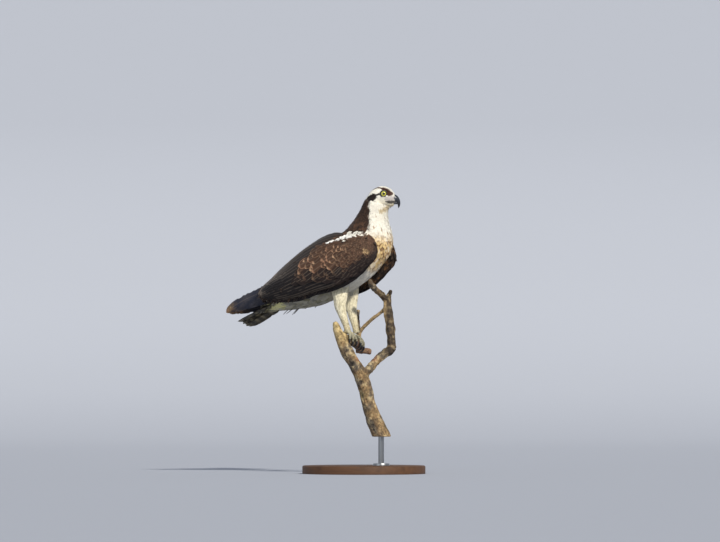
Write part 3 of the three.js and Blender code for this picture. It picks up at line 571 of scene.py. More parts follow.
def spread(me, spacing_of, mask_of):
    """Evenly scattered roots over a mesh: points, normals."""
    me.calc_loop_triangles()
    f = np.empty(len(me.loop_triangles) * 3, np.int32)
    me.loop_triangles.foreach_get("vertices", f)
    f = f.reshape(-1, 3)
    v, nn = coords(me)
    c = v[f].mean(1)
    keep = mask_of(c)
    f = f[keep]
    c = c[keep]
    area = np.linalg.norm(np.cross(v[f[:, 1]] - v[f[:, 0]], v[f[:, 2]] - v[f[:, 0]]), axis=1) / 2
    sp = spacing_of(c)
    want = area / sp**2
    total = int(want.sum() * 3.0)
    idx = rng.choice(len(f), total, p=want / want.sum())
    r1, r2 = np.sqrt(rng.random(total)), rng.random(total)
    b = np.stack([1 - r1, r1 * (1 - r2), r1 * r2], 1)
    P = (v[f[idx]] * b[..., None]).sum(1)
    N = unit((nn[f[idx]] * b[..., None]).sum(1))
    S = sp[idx] * 0.82
    cell = float(S.max())
    grid, keep = {}, []
    keys = np.floor(P / cell).astype(int)
    near = [(a, b, c) for a in (-1, 0, 1) for b in (-1, 0, 1) for c in (-1, 0, 1)]
    PL, SL, KL = P.tolist(), (S * S).tolist(), keys.tolist()
    for i in range(total):
        x, y, z = PL[i]
        k0, k1, k2 = KL[i]
        ok = True
        for a, b, c in near:
            for j in grid.get((k0 + a, k1 + b, k2 + c), ()):
                q = PL[j]
                if (q[0] - x) ** 2 + (q[1] - y) ** 2 + (q[2] - z) ** 2 < SL[i]:
                    ok = False
                    break
            if not ok:
                break
        if ok:
            grid.setdefault((k0, k1, k2), []).append(i)
            keep.append(i)
    return P[keep], N[keep]


def body_bake(t, q, p):
    """Place on an unwrap of the trunk: round it and along it."""
    y = (p - GRIP)[:, 1]
    around = np.where(y < 0, 0.5 - 0.47 * q, 0.5 + 0.47 * q)
    return np.stack([0.02 + 0.96 * around, 0.02 + 0.96 * t], 1)


def wing_zone(p, n=None):
    """2 on the outer faces of the wings, 1 on their rims and inner faces, 0 elsewhere."""
    out = np.zeros(len(p), int)
    for i, x in enumerate(p):
        x = Vector(x)
        a, na, _, da = WING_TREE.find_nearest(x)
        _, _, _, db = TRUNK_TREE.find_nearest(x)
        if da < db:
            s = 1 if x.y > 0 else -1
            out[i] = 2 if (na.y * s > 0.25 and abs(x.y) > 0.03) or na.y * s > 0.6 else 1
    return out


def mask_region(which):
    return lambda c: (region(c) == which) & (wing_zone(c) == 0)


# skin colour, a darker copy of the coat's colours as painted shade between the feathers, and inset by the coat's depth
reg = region(sv)
zone = wing_zone(sv)
onwing = zone > 0
tb, qb = body_tq(sv)
colr, _ = body_colour(sv, tb, qb)
colr[reg == 0] = head_colour(sv[reg == 0])
colr[reg == 3] = WHITE * 0.9
colr[onwing] = COVER * 0.7
tint(skin.data, colr * 0.85)
skin.data.materials.clear()
skin.data.materials.append(SKIN)
depth = np.select([onwing, reg == 0, reg == 3], [0.0030, 0.0012, 0.0012], 0.0032)
a_, l_, h_ = head_alu(sv)
depth = np.where((reg == 0) & (a_ > 12), 0.0004, depth)
near_eye = np.minimum(np.linalg.norm(sv - EYE[-1], axis=1), np.linalg.norm(sv - EYE[1], axis=1))
depth = depth * smooth(0.009, 0.014, near_eye)
base_mesh = skin.data.copy()  # the coat's own surface, before the inset
put(base_mesh, sv - sn * (depth * 0.55)[:, None])
put(skin.data, sv - sn * depth[:, None])
full_tree = BVHTree.FromPolygons([Vector(x) for x in (sv - sn * (depth * 0.55)[:, None])], [tuple(p.vertices) for p in base_mesh.polygons])
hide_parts(*FLESH)
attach(skin, "root")


def coat(ob):
    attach(ob, "root")


# trunk and neck
bv, bn = coords(base_mesh)


def trunk_spacing(c):
    t, q = body_tq(c)
    s = np.interp(t, [0, 0.2, 0.5, 0.66, 0.76, 0.9, 1], [0.0052, 0.0050, 0.0050, 0.0044, 0.0036, 0.0027, 0.0022])
    return s


P, N = spread(base_mesh, trunk_spacing, mask_region(1))
t, q = body_tq(P)
D = body_lie(t, q)
reach = np.interp(t, [0, 0.1, 0.3, 0.55, 0.68, 0.8, 0.95], [0.030, 0.026, 0.024, 0.019, 0.015, 0.0105, 0.0075])
clear = (q < 0.3) | ((gap_to(WING_TREE, P) > 0.004) & (gap_to(WING_TREE, P + D * reach[:, None]) > 0.004))
P, N, t, q, D = P[clear], N[clear], t[clear], q[clear], D[clear]
c, br = body_colour(P, t, q)
L = np.interp(t, [0, 0.1, 0.3, 0.55, 0.68, 0.8, 0.95], [0.030, 0.026, 0.024, 0.019, 0.015, 0.0105, 0.0075])
W = L * np.interp(t, [0, 0.5, 0.9], [0.42, 0.46, 0.44])
tipc = mix(c * 1.02, c, 0.5 + 0 * t)
tipc = mix(tipc, mix(WHITE, FRINGE, 0.6 + 0 * t), (1 - br) * 0.3 * (hash01(P, 3) > 0.5) * smooth(0.4, 0.6, t))
tipc = mix(tipc, RUFOUS * 1.25, br * 0.55 * smooth(0.35, 0.7, t))
order = t.argsort()
half = len(order) // 2
for i, sel in enumerate((order[:half], order[half:])):
    ob = lay(f"trunk_feathers_{i}", P[sel], N[sel], D[sel], L[sel], W[sel], c[sel], tipc[sel], SMALL, body_bake(t[sel], q[sel], P[sel]), lift=0.0021, nl=6, ns=3, tipness=0.45)
    coat(ob)

# a few dark wisps hang below the belly, their dark colour painted shade under the body
roots = [full_tree.find_nearest(Vector(GRIP + np.array([x, y, 70]) / 1000)) for x, y in ((-168, -8), (-160, 6), (-153, -12), (-146, 2), (-139, -8), (-112, -6), (-92, 4))]
P = np.array([h[0] for h in roots])
N = np.tile([0, -1.0, 0], (len(P), 1))
c = np.tile(rgb(58, 50, 38), (len(P), 1))
ob = lay("belly_wisps", P + np.array([0, 0, 0.002]), N, np.tile([-0.75, 0, -0.62], (len(P), 1)), np.array([0.025, 0.028, 0.022, 0.029, 0.024, 0.017, 0.014]), np.full(len(P), 0.0021), c, c, SMALL, np.stack([0.5 + P[:, 1], 0.2 - P[:, 0]], 1), lift=0.0004, nl=7, ns=3, tipness=0.2, follow=False)
coat(ob)

# rims and inner faces of the wings
P, N = spread(base_mesh, lambda c: np.full(len(c), 0.0052), lambda c: wing_zone(c) == 1)
x_, y_ = photo_xy(P)
rnd = hash01(P, 6)
c = mix(np.tile(rgb(44, 33, 27), (len(P), 1)), rgb(96, 68, 44), 0.8 * (rnd > 0.78) * (P[:, 1] > 0) * (P[:, 0] > -0.06))
c = mix(c, BLACK, 0.7 * (rnd < 0.3))
D = np.tile([-0.62, 0, -0.78], (len(P), 1))
ob = lay("wing_rims", P, N, D, np.full(len(P), 0.017), np.full(len(P), 0.0078), c, c * 1.2, COVERT, np.stack([0.02 + 0.96 * smooth(-0.4, 0.1, P[:, 0]), np.where(P[:, 1] > 0, 0.55, 0.05) + 0.4 * smooth(0.35, 0.6, P[:, 2])], 1), lift=0.0018, nl=6, ns=3, tipness=0.5)
coat(ob)


# head
def head_spacing(c):
    a, l, h = head_alu(c)
    return np.interp(a, [-40, -10, 8, 22], [0.0022, 0.0017, 0.0013, 0.0011])


P, N = spread(base_mesh, head_spacing, mask_region(0))
a, l, h = head_alu(P)
eye_gap = np.minimum(np.linalg.norm(P - EYE[-1], axis=1), np.linalg.norm(P - EYE[1], axis=1))
keep = (eye_gap > 0.0108) & ~((a > 17) & (h > -21)) & ~((a > 20) & (h > -27))
P, N, a, l, h = P[keep], N[keep], a[keep], l[keep], h[keep]
D = -H_AHEAD + np.array([0, 0, -1.0]) * (0.25 + 0.9 * smooth(0, -30, h) * smooth(-30, 5, a))[:, None] + np.array([0, 0, 0.5]) * (smooth(6, 16, h) * smooth(0, 20, a))[:, None]
# round the eyes the feathers part
for s in (-1, 1):
    r = P - EYE[s]
    d = np.linalg.norm(r, axis=1)
    D = D + unit(r) * (smooth(0.022, 0.011, d) * 0.9)[:, None]
c = head_colour(P)
L = np.interp(a, [-40, -15, 5, 20], [0.0085, 0.0062, 0.0042, 0.0030])
ob = lay("head_feathers", P, N, unit(D), L, L * 0.42, c, c * 1.03, SMALL, np.stack([0.5 + l / 70, 0.5 + a / 90], 1), lift=0.0007, sink=0.0003, nl=4, ns=3, tipness=0.4, jitter=0.14)
coat(ob)

# legs
P, N = spread(base_mesh, lambda c: np.where(c[:, 2] > 0.323 + 0.075, 0.0031, 0.0021), mask_region(3))
z = P[:, 2] - GRIP[2]
keep = z > 0.022
P, N, z = P[keep], N[keep], z[keep]
L = np.interp(z, [0.03, 0.06, 0.09, 0.15], [0.0055, 0.008, 0.013, 0.018])
c = mix(np.tile(rgb(228, 219, 190), (len(P), 1)), rgb(196, 180, 140), 0.7 * smooth(0.075, 0.03, z))
c = mix(c, rgb(168, 158, 124), 0.5 * (hash01(P, 4) > 0.7))
D = np.stack([-0.1 - 0.7 * smooth(0.10, 0.16, z), 0 * z, -1.0 + 0 * z], 1)
ob = lay("leg_feathers", P, N, D, L, L * 0.4, c, c * 1.05, SMALL, np.stack([np.where(P[:, 1] < 0, 0.25, 0.75) + (P[:, 0] - GRIP[0] + 0.02) * 6, 0.1 + z * 5], 1), lift=0.0012, nl=4, ns=3)
coat(ob)


# wings: small coverts in staggered rows, then the long feathers
def wing_normal(side, t, q):
    e = 0.01
    a = wing_surface(side, np.clip(t + e, 0, 1), q) - wing_surface(side, np.clip(t - e, 0, 1), q)
    b = wing_surface(side, t, np.clip(q + e, 0, 1)) - wing_surface(side, t, np.clip(q - e, 0, 1))
    n = unit(np.cross(a, b))
    return np.where(n[..., 1:2] * side < 0, -n, n), unit(a), unit(b)


def covert_colour(p, side):
    x, y = photo_xy(p)
    v = wave(p, 220, 4)
    rnd = hash01(p, 5)
    line = np.interp(x, [270, 283, 310, 345, 368, 380], [262, 268, 272, 268, 255, 250]) + 3 * v
    # below this line the coverts go near-black: partly their own darker colour, partly painted shade on the wing's
    # lower part
    dark_lower_and_shade = smooth(line - 3, line + 5, y)
    c = mix(COVER, rgb(96, 70, 54), 0.5 * rnd)
    c = mix(c, BLACK, 0.88 * dark_lower_and_shade)
    f = mix(FRINGE, rgb(150, 112, 88), smooth(0.3, 1.0, rnd))
    strong = smooth(356, 340, x) * smooth(line + 9, line - 3, y) * smooth(243, 249, y) * smooth(278, 292, x)
    weak = 0.34 * smooth(338, 360, x) * (1 - dark_lower_and_shade)
    f = mix(c * 1.25, f, np.clip(strong * (0.25 + 0.75 * smooth(-0.25, 0.35, wave(p, 95, 7) + 0.5 * (rnd - 0.4))) + weak * 0.6, 0, 1))
    # pale line over the shoulder
    pale = capsule(x, y, 350, 236.2, 369, 233.2, 1.3, 1.0) * (0.2 + 0.7 * (v > -0.2))
    c, f = mix(c, WHITE, 0.96 * pale), mix(f, WHITE, 0.96 * pale)
    spot = capsule(x, y, 366.0, 251.5, 367.4, 254.0, 1.4, 1.0)
    c, f = mix(c, rgb(200, 170, 125), 0.2 * spot), mix(f, rgb(206, 172, 126), 0.8 * spot)
    return c, f


for side, hand in ((-1, "right"), (1, "left")):
    roots_t, roots_q, lens = [], [], []
    t0 = 0.0
    row = 0
    while t0 < 0.62:
        step = np.interp(t0, [0, 0.15, 0.35, 0.6], [0.014, 0.020, 0.033, 0.040])
        n = int(np.interp(t0, [0, 0.1, 0.3, 0.6], [10, 17, 15, 11]))
        qq = (np.arange(n) + (0.5 if row % 2 else 0.0)) / n
        roots_t.append(np.full(n, t0) + rng.normal(0, step * 0.24, n))
        roots_q.append(np.clip(qq + rng.normal(0, 0.012, n), 0, 1))
        lens.append(np.full(n, np.interp(t0, [0, 0.15, 0.35, 0.6], [0.013, 0.020, 0.034, 0.046])))
        t0 += step
        row += 1
    wt, wq, wl = (np.concatenate(k) for k in (roots_t, roots_q, lens))
    # the white scapulars lie over the others, in a narrow tapering patch
    gt, gq = (k.ravel() for k in np.meshgrid(np.linspace(0.05, 0.5, 60), np.linspace(-0.02, 0.45, 60), indexing="ij"))
    gp = wing_surface(-1, gt, gq)
    gx, gy = photo_xy(gp)
    pt, pq = [], []
    for k in range(30):
        e = k / 29
        px_, py_ = 352.5 - 20 * e, 236.6 + 5.6 * e + (0.9 * (1 - e)) * (-1) ** k
        best = np.argmin((gx - px_) ** 2 + (gy - py_) ** 2)
        pt.append(gt[best])
        pq.append(gq[best])
    pt, pq = np.array(pt), np.array(pq)
    SP = wing_surface(side, pt, pq)
    SN, SA, SB = wing_normal(side, np.clip(pt, 0, 1), np.clip(pq, 0, 1))
    SL = np.linspace(0.017, 0.021, len(pt))
    white = np.tile(rgb(248, 246, 240), (len(pt), 1))
    ob = lay(f"scapulars_{hand}", SP + SN * 0.0009, SN, SA - SB * 0.05, SL, np.linspace(0.0088, 0.0056, len(pt)), white, white, COVERT, np.stack([0.03 + 0.94 * pt, 0.03 + 0.94 * pq], 1), lift=0.0022, sink=0.0003, nl=8, ns=3, tipness=0.5, jitter=0.05, bow=0.12)
    coat(ob)
    keep = wt < np.interp(wq, [0, 0.12, 0.3, 0.6, 0.78, 1], [0.36, 0.46, 0.59, 0.60, 0.42, 0.26]) + rng.normal(0, 0.006, len(wt))
    wt, wq, wl = np.clip(wt[keep], 0.002, 1), wq[keep], wl[keep]
    P = wing_surface(side, wt, wq)
    N, A, B = wing_normal(side, wt, wq)
    # the upper and lower edges lie along the wing, and the middle turns down it
    D = A + B * (0.42 * np.sin(math.pi * np.clip(wq * 1.05, 0, 1)) * smooth(0.85, 0.3, wt))[:, None]
    P = P - N * 0.0016
    wl = wl * np.interp(wq, [0, 0.2, 0.75, 1], [0.8, 1, 1.1, 0.95]) * (1 + rng.normal(0, 0.12, len(wl)))
    c, f = covert_colour(P + D * (wl * 4 * 0.6)[:, None] * 0.25, side)
    ob = lay(f"coverts_{hand}", P, N, D, wl, wl * 0.52, c, f, COVERT, np.stack([0.03 + 0.94 * wt, 0.03 + 0.94 * wq], 1), lift=0.0024, sink=0.0004, nl=8, ns=5, tipness=0.55, jitter=0.07, bow=0.12)
    coat(ob)


def vane(spine, normal, width, lead=0.42, curl=0.10, nl=None, ns=9, thick=0.00045, notch=None, tipness=0.72):
    """One long closed vane on a shaft: spine and normal are nl x 3."""
    nl = len(spine)
    tt = np.linspace(0, 1, nl)
    T = unit(np.gradient(spine, axis=0))
    side = unit(np.cross(normal, T))
    end = np.sqrt(np.clip(1 - (np.clip(tt - tipness, 0, 1) / (1 - tipness)) ** 2.2, 0.0, 1))
    w = width * (0.35 + 0.65 * np.clip(tt / 0.15, 0, 1)) * np.maximum(end, 0.04)
    s = np.linspace(-1, 1, ns)
    off = np.where(s < 0, s * (1 - lead) * 2 * 0.5, s * lead * 2 * 0.5)
    W = w[:, None] * off[None, :]
    if notch is not None:
        cut = 1 - notch[:, None] * (np.abs(s)[None, :] > 0.8)
        W = W * cut
    z = -curl * (s[None, :] ** 2) * w[:, None] * 0.5
    top = spine[:, None] + side[:, None] * W[..., None] + normal[:, None] * z[..., None]
    ridge = 0.0006 * np.exp(-((s / 0.12) ** 2))[None, :] * np.linspace(1, 0.2, nl)[:, None]
    bot = top - normal[:, None] * thick * (1 - 0.9 * np.abs(s)[None, :, None] ** 4)
    top = top + normal[:, None] * ridge[..., None]
    V = np.concatenate([top.reshape(-1, 3), bot.reshape(-1, 3)])
    k = nl * ns
    i, j = np.meshgrid(np.arange(nl - 1), np.arange(ns - 1), indexing="ij")
    a = (i * ns + j).ravel()
    F = [np.stack([a, a + 1, a + 1 + ns, a + ns], 1), np.stack([a + k, a + ns + k, a + 1 + ns + k, a + 1 + k], 1)]
    e = np.arange(nl - 1) * ns
    F.append(np.stack([e, e + ns, e + ns + k, e + k], 1))
    e = e + ns - 1
    F.append(np.stack([e, e + k, e + ns + k, e + ns], 1))
    e = np.arange(ns - 1)
    F.append(np.stack([e, e + k, e + 1 + k, e + 1], 1))
    e = e + (nl - 1) * ns
    F.append(np.stack([e, e + 1, e + 1 + k, e + k], 1))
    U = np.stack(np.meshgrid(tt, (s + 1) / 2, indexing="ij"), -1)[..., ::-1].reshape(-1, 2)
    return V, np.concatenate(F), np.concatenate([U, U])


def flight(name, items, replaces=()):
    """Joins long vanes. Each has its own strip on the unwrap, as its bars would be lost in a small patch."""
    vs, fs, us, cs, ts, bs = [], [], [], [], [], []
    base = 0
    n = len(items)
    for i, it in enumerate(items):
        V, F, U = vane(**it["shape"])
        vs.append(V)
        fs.append(F + base)
        base += len(V)
        us.append(U)
        cs.append(it["colour"](U, V))
        ts.append(it["tip"](U, V))
        bs.append(np.stack([(i + 0.06 + 0.88 * U[:, 0]) / n, 0.02 + 0.96 * U[:, 1]], 1))
    ob = make(name, np.concatenate(vs), np.concatenate(fs), [FLIGHT], colour=np.concatenate(cs), tip=np.concatenate(ts), uv=np.concatenate(us), bake_uv=np.concatenate(bs))
    if replaces:
        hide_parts(*replaces)
    coat(ob)
    return ob


def notches(nl, k, amount=0.1):
    r = np.random.default_rng(k).random(nl)
    return amount * (r > 0.72) * np.linspace(0.3, 1.6, nl)


NL = 26
for side, hand in ((-1, "right"), (1, "left")):
    items = []
    # secondaries and tertials, lowest first, each over the one before
    spec = [
        (0.14, 0.97, 0.80, 0.985), (0.19, 0.93, 0.86, 0.96), (0.24, 0.88, 0.91, 0.92), (0.29, 0.82, 0.95, 0.87), (0.35, 0.75, 0.975, 0.80), (0.40, 0.67, 0.99, 0.72),
        (0.44, 0.58, 1.005, 0.64), (0.47, 0.49, 1.015, 0.55), (0.48, 0.40, 1.02, 0.46), (0.48, 0.32, 1.02, 0.37), (0.47, 0.25, 1.01, 0.28), (0.45, 0.18, 0.985, 0.20),
        (0.42, 0.12, 0.93, 0.12), (0.38, 0.06, 0.86, 0.05), (0.32, 0.02, 0.76, 0.0),
    ]
    for k, (ta, qa, tz, qz) in enumerate(spec):
        tt = np.linspace(0, 1, NL)
        T_, Q_ = ta + (tz - ta) * tt, qa + (qz - qa) * tt
        S = wing_surface(side, T_, Q_)
        N, A, B = wing_normal(side, np.clip(T_, 0, 1), Q_)
        S = S + N * (-0.0052 + 0.0003 * k + 0.0030 * tt[:, None])
        # the lowest feathers go near-black: partly their own darker colour, partly painted shade on the wing's lower
        # part
        dark = 1 - k / (len(spec) - 1)
        base_c = mix(SECOND * 0.62, BLACK * 0.8, np.array(smooth(0.25, 0.55, dark)))

        def colour(U, V, base_c=base_c, k=k):
            m = 0.5 + 0.5 * np.sin(U[:, 1] * 23 + k)
            c = mix(base_c * 0.92, base_c * 1.12, m * 0.4)
            # painted shade: darker towards the base, where the coverts lie over them
            return mix(c, BLACK, 0.7 * smooth(0.85, 0.4, U[:, 1]))

        def tip(U, V, base_c=base_c, dark=dark):
            return np.tile(mix(base_c * 1.1, rgb(140, 126, 112), np.array(0.62 * (1 - smooth(0.3, 0.6, dark)))), (len(U), 1))

        items.append({"shape": dict(spine=S, normal=N, width=0.031 if k < 11 else 0.024, lead=0.38 if side < 0 else 0.62, notch=notches(NL, k + 7)), "colour": colour, "tip": tip})
    flight(f"secondaries_{hand}", items)

    items = []
    for k in range(7):
        qa = 0.92 - 0.13 * k
        ta, tz = 0.05, [0.70, 0.79, 0.86, 0.92, 0.965, 0.995, 0.93][k]
        tt = np.linspace(0, 1, NL)
        T_, Q_ = ta + (tz - ta) * tt, qa + (0.5 - qa) * 0.35 * tt
        S = wing_surface(side, T_, Q_, tip=True)
        e = 0.01
        d = unit(wing_surface(side, np.clip(T_ + e, 0, 1), Q_, tip=True) - wing_surface(side, np.clip(T_ - e, 0, 1), Q_, tip=True))
        b = unit(wing_surface(side, T_, np.clip(Q_ + e, 0, 1), tip=True) - wing_surface(side, T_, np.clip(Q_ - e, 0, 1), tip=True))
        N = unit(np.cross(d, b))
        N = np.where(N[:, 1:2] * side < 0, -N, N)
        S = S + N * (-0.0045 + 0.0006 * k)

        def colour(U, V, k=k):
            worn = smooth(0.66, 0.9, U[:, 1] + 0.07 * wave(V, 500, k)) * (0.45 + 0.55 * (k > 2))
            c = mix(np.tile(PRIMARY, (len(U), 1)), rgb(74, 70, 72), 0.25 + 0.25 * np.sin(U[:, 1] * 17 + k))
            c = mix(c, rgb(112, 88, 62), 0.8 * worn)
            return mix(c, rgb(176, 160, 112), 0.6 * worn * smooth(0.3, 0.9, wave(V, 900, 3)))

        def tip(U, V, k=k):
            return mix(np.tile(PRIMARY * 1.2, (len(U), 1)), rgb(150, 116, 84), 0.8 * smooth(0.75, 0.95, U[:, 1]))

        items.append({"shape": dict(spine=S, normal=N, width=0.023, lead=0.36 if side < 0 else 0.64, notch=notches(NL, k + 40, 0.16), tipness=0.62), "colour": colour, "tip": tip})
    flight(f"primaries_{hand}", items, replaces=[f"primaries_{hand}"])

# tail: twelve feathers, the middle pair on top
SLOPE, ROLL = math.radians(24), math.radians(15)


def tail_point(back, y, z):
    yr, zr = y * math.cos(ROLL) + z * math.sin(ROLL), z * math.cos(ROLL) - y * math.sin(ROLL)
    return GRIP + np.array([-158 - back * math.cos(SLOPE), yr, 118 - back * math.sin(SLOPE) + zr]) / 1000


items = []
for k in range(5, -1, -1):
    for s in (-1, 1):
        lat = s * (0.6 + k) / 6
        tt = np.linspace(0, 1, NL)
        long = 166 - 0.5 * k * k - (3 if s > 0 else 0) - 3 * (k % 2)
        half = lambda b: np.interp(b, [0, 40, 80, 116, 156], [15, 21, 27, 32, 34])
        hang = lambda b: np.interp(b, [0, 40, 80, 116, 156], [3, 6, 8, 9, 9])
        S = np.array([tail_point(b, lat * half(b) * 0.86, -hang(b) * lat * lat + 3.4 - 0.75 * k - 2.4 * tt[i] + (0.25 if s > 0 else 0)) for i, b in enumerate(tt * long)])
        up = unit(np.array([-math.sin(SLOPE), math.sin(ROLL), math.cos(SLOPE)]) + 0.28 * lat * np.array([0, 1, 0]))
        N = np.tile(up, (NL, 1))

        def colour(U, V, k=k, s=s):
            bar = smooth(0.25, 0.6, np.sin(U[:, 1] * 44 + 0.7 * k))
            inner = 0.35 + 0.65 * (U[:, 0] > 0.5 if s > 0 else U[:, 0] < 0.5)
            c = mix(np.tile(TAIL_DARK, (len(U), 1)), rgb(134, 124, 98), 0.85 * bar * inner)
            return mix(c, rgb(40, 36, 32), smooth(0.84, 0.93, U[:, 1]) * 0.8)

        def tip(U, V):
            return mix(np.tile(TAIL_DARK * 1.2, (len(U), 1)), rgb(150, 138, 112), 0.35 * smooth(0.8, 1, U[:, 1]))

        items.append({"shape": dict(spine=S, normal=N, width=0.0235, lead=0.38 if s < 0 else 0.62, notch=notches(NL, k * 2 + s + 90, 0.3), tipness=0.80), "colour": colour, "tip": tip})
tail = flight("tail_feathers", items, replaces=["tail"])

# ------------------------------------------------------------ bill, lids and eyes
UP_BILL = dict(over=[(17, -1.5), (24, -2.6), (29.6, -5.6), (34.2, -11), (37, -17.6), (37.9, -24.4), (36.6, -31), (33.6, -36.6)],
               under=[(17, -19.5), (23, -20.4), (27, -21.6), (29, -23.4), (30.2, -25.6), (31.2, -28.6), (31.8, -32.2), (32.6, -35.8)],
               wide=[9.4, 8.8, 7.4, 5.9, 4.6, 3.2, 1.9, 0.7])
LOW_BILL = dict(over=[(11, -19.6), (18, -20.2), (24, -21.2), (28.6, -23), (30.6, -25.2)], under=[(11, -26.6), (18, -27), (24, -27), (28.2, -27.2), (30.4, -26.8)], wide=[7.6, 7, 5.6, 3.8, 1.6])


def bill(name, shape, cad, steps=56, round_=40):
    tt = np.linspace(0, 1, steps)
    g = lambda key, i: along([p[i] for p in shape[key]], tt)
    oa, ou, ua, uu = g("over", 0), g("over", 1), g("under", 0), g("under", 1)
    w = along(shape["wide"], tt)
    w[-1] *= 0.2
    V, C = [], []
    for i in range(steps):
        for k in range(round_):
            c, s = math.cos(2 * math.pi * k / round_), math.sin(2 * math.pi * k / round_)
            keel = 1 - 0.16 * max(c, 0) ** 3
            V.append(on_head((oa[i] + ua[i]) / 2 + (oa[i] - ua[i]) / 2 * c, s * w[i] * keel, (ou[i] + uu[i]) / 2 + (ou[i] - uu[i]) / 2 * c))
    V = np.array(V)
    F = [[i * round_ + k, i * round_ + (k + 1) % round_, (i + 1) * round_ + (k + 1) % round_, (i + 1) * round_ + k] for i in range(steps - 1) for k in range(round_)]
    c0 = len(V)
    V = np.vstack([V, V[:round_].mean(0), V[-round_:].mean(0)])
    F += [[c0, (k + 1) % round_, k, k] for k in range(0)]
    a, l, h = head_alu(V)
    col = np.tile(rgb(36, 40, 47), (len(V), 1))
    if name == "bill_top":
        cere = smooth(27.5, 24.5, a + 0.25 * (h + 10))
        col = mix(col, rgb(96, 100, 108), 0.7 * cere)
        col = mix(col, rgb(24, 26, 31), smooth(-14, -24, h))
        # the nostril: a shallow cut painted near-black, as painted shade in the hole
        slit = capsule(a, h, 22.6, -9.2, 24.6, -5.6, 0.5, 0.5)
        col = mix(col, rgb(12, 12, 14), slit)
        out = np.where(slit[:, None] > 0, 0.0006 * slit[:, None], 0) * unit(V - on_head(24, 0, -10))
        V = V - out
    ob = make(name, V, F, [HORN], colour=col)
    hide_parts(cad)
    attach(ob, "root")


bill("bill_top", UP_BILL, "bill_upper")
bill("bill_bottom", LOW_BILL, "bill_lower", steps=30)

IRIS, _t, _b = shader("eye_yellow", Roughness=0.12, Coat_Weight=1.0, Coat_Roughness=0.02)
_t.links.new(attribute(_t, "Col").outputs["Color"], _b.inputs["Base Color"])
R_EYE = 0.0092
for s, hand in ((-1, "right"), (1, "left")):
    z = EYE_AXIS[s]
    x = unit(np.cross([0, 0, 1.0], z))
    y = np.cross(z, x)
    rings, round_ = 60, 48
    V, C = [], []
    for i in range(rings + 1):
        a = math.pi * i / rings
        for k in range(round_):
            b = 2 * math.pi * k / round_
            r = R_EYE
            deg = math.degrees(a)
            r *= 1 + 0.035 * math.exp(-((deg / 40) ** 2))
            V.append(EYE[s] + r * (math.cos(a) * z + math.sin(a) * (math.cos(b) * x + math.sin(b) * y)))
            fib = 0.85 + 0.15 * math.sin(b * 17) * math.sin(b * 31 + 1)
            if deg < 20.5:
                C.append([0.003] * 3)
            elif deg < 41:
                e = (deg - 20.5) / 20.5
                C.append((rgb(206, 198, 62) * (1 - 0.35 * e**3) * fib).tolist())
            else:
                C.append([0.008, 0.007, 0.006])
    F = [[i * round_ + k, (i + 1) * round_ + k, (i + 1) * round_ + (k + 1) % round_, i * round_ + (k + 1) % round_] for i in range(rings) for k in range(round_)]
    ob = make(f"eye_{hand}_ball", V, F, [IRIS], colour=np.array(C))
    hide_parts(f"eye_{hand}")
    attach(ob, "root")
    # lids: a dark rim that hugs the ball, thicker above, under a brow
    V, C = [], []
    m, n = 64, 14
    for i in range(m):
        b = 2 * math.pi * i / m
        out = math.cos(b) * x + math.sin(b) * y
        upper = max(0.0, math.sin(b))
        open_ = 50 - 5 * upper
        a = math.radians(open_)
        centre = EYE[s] + R_EYE * 1.0 * (math.cos(a + 0.14) * z + math.sin(a + 0.14) * out)
        rim = 0.00135 + 0.0004 * upper
        for k in range(n):
            g = 2 * math.pi * k / n
            V.append(centre + rim * (math.cos(g) * out * 1.35 + math.sin(g) * z))
            C.append(rgb(34, 31, 30).tolist())
    F = [[i * n + k, ((i + 1) % m) * n + k, ((i + 1) % m) * n + (k + 1) % n, i * n + (k + 1) % n] for i in range(m) for k in range(n)]
    ob = make(f"lid_{hand}", V, F, [LID], colour=np.array(C))
    coat(ob)

# ------------------------------------------------------------ feet, scales and claws
feet = fuse("feet", ["foot_right", "foot_left", "tarsus_right", "tarsus_left"], 0.0009, times=6)
fv, fn = coords(feet.data)
# painted shade: the toes darken to olive-grey towards the bottom
col = mix(np.tile(rgb(192, 180, 146), (len(fv), 1)), rgb(84, 84, 68), smooth(0.03, 0.006, fv[:, 2] - GRIP[2]) * (0.6 + 0.4 * wave(fv, 700, 1)))
tint(feet.data, col)
feet.data.materials.clear()
feet.data.materials.append(SCALY)
inset = np.where(fv[:, 2] > GRIP[2] + 0.028, 0.0022, 0.0002)
put(feet.data, fv - fn * inset[:, None])
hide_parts("foot_right", "foot_left")
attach(feet, "root")
P, N = spread(feet.data, lambda c: np.full(len(c), 0.0019), lambda c: c[:, 2] < GRIP[2] + 0.034)
axis = unit(np.cross(N, rng.normal(size=P.shape)))
other = np.cross(N, axis)
ang = np.arange(7) * 2 * math.pi / 7
r = rng.uniform(0.00085, 0.00115, len(P))[:, None, None]
ring1 = P[:, None] + r * (np.cos(ang)[None, :, None] * axis[:, None] + np.sin(ang)[None, :, None] * other[:, None]) - N[:, None] * 0.0002
ring2 = P[:, None] + 0.6 * r * (np.cos(ang)[None, :, None] * axis[:, None] + np.sin(ang)[None, :, None] * other[:, None]) + N[:, None] * 0.00042
V = np.concatenate([ring1, ring2], 1)
quad = np.array([[k, (k + 1) % 7, 7 + (k + 1) % 7, 7 + k] for k in range(7)] + [[7, 8, 9, 10], [7, 10, 11, 13], [11, 12, 13, 13]][:2])
F = (quad[None] + (np.arange(len(P)) * 14)[:, None, None]).reshape(-1, 4)
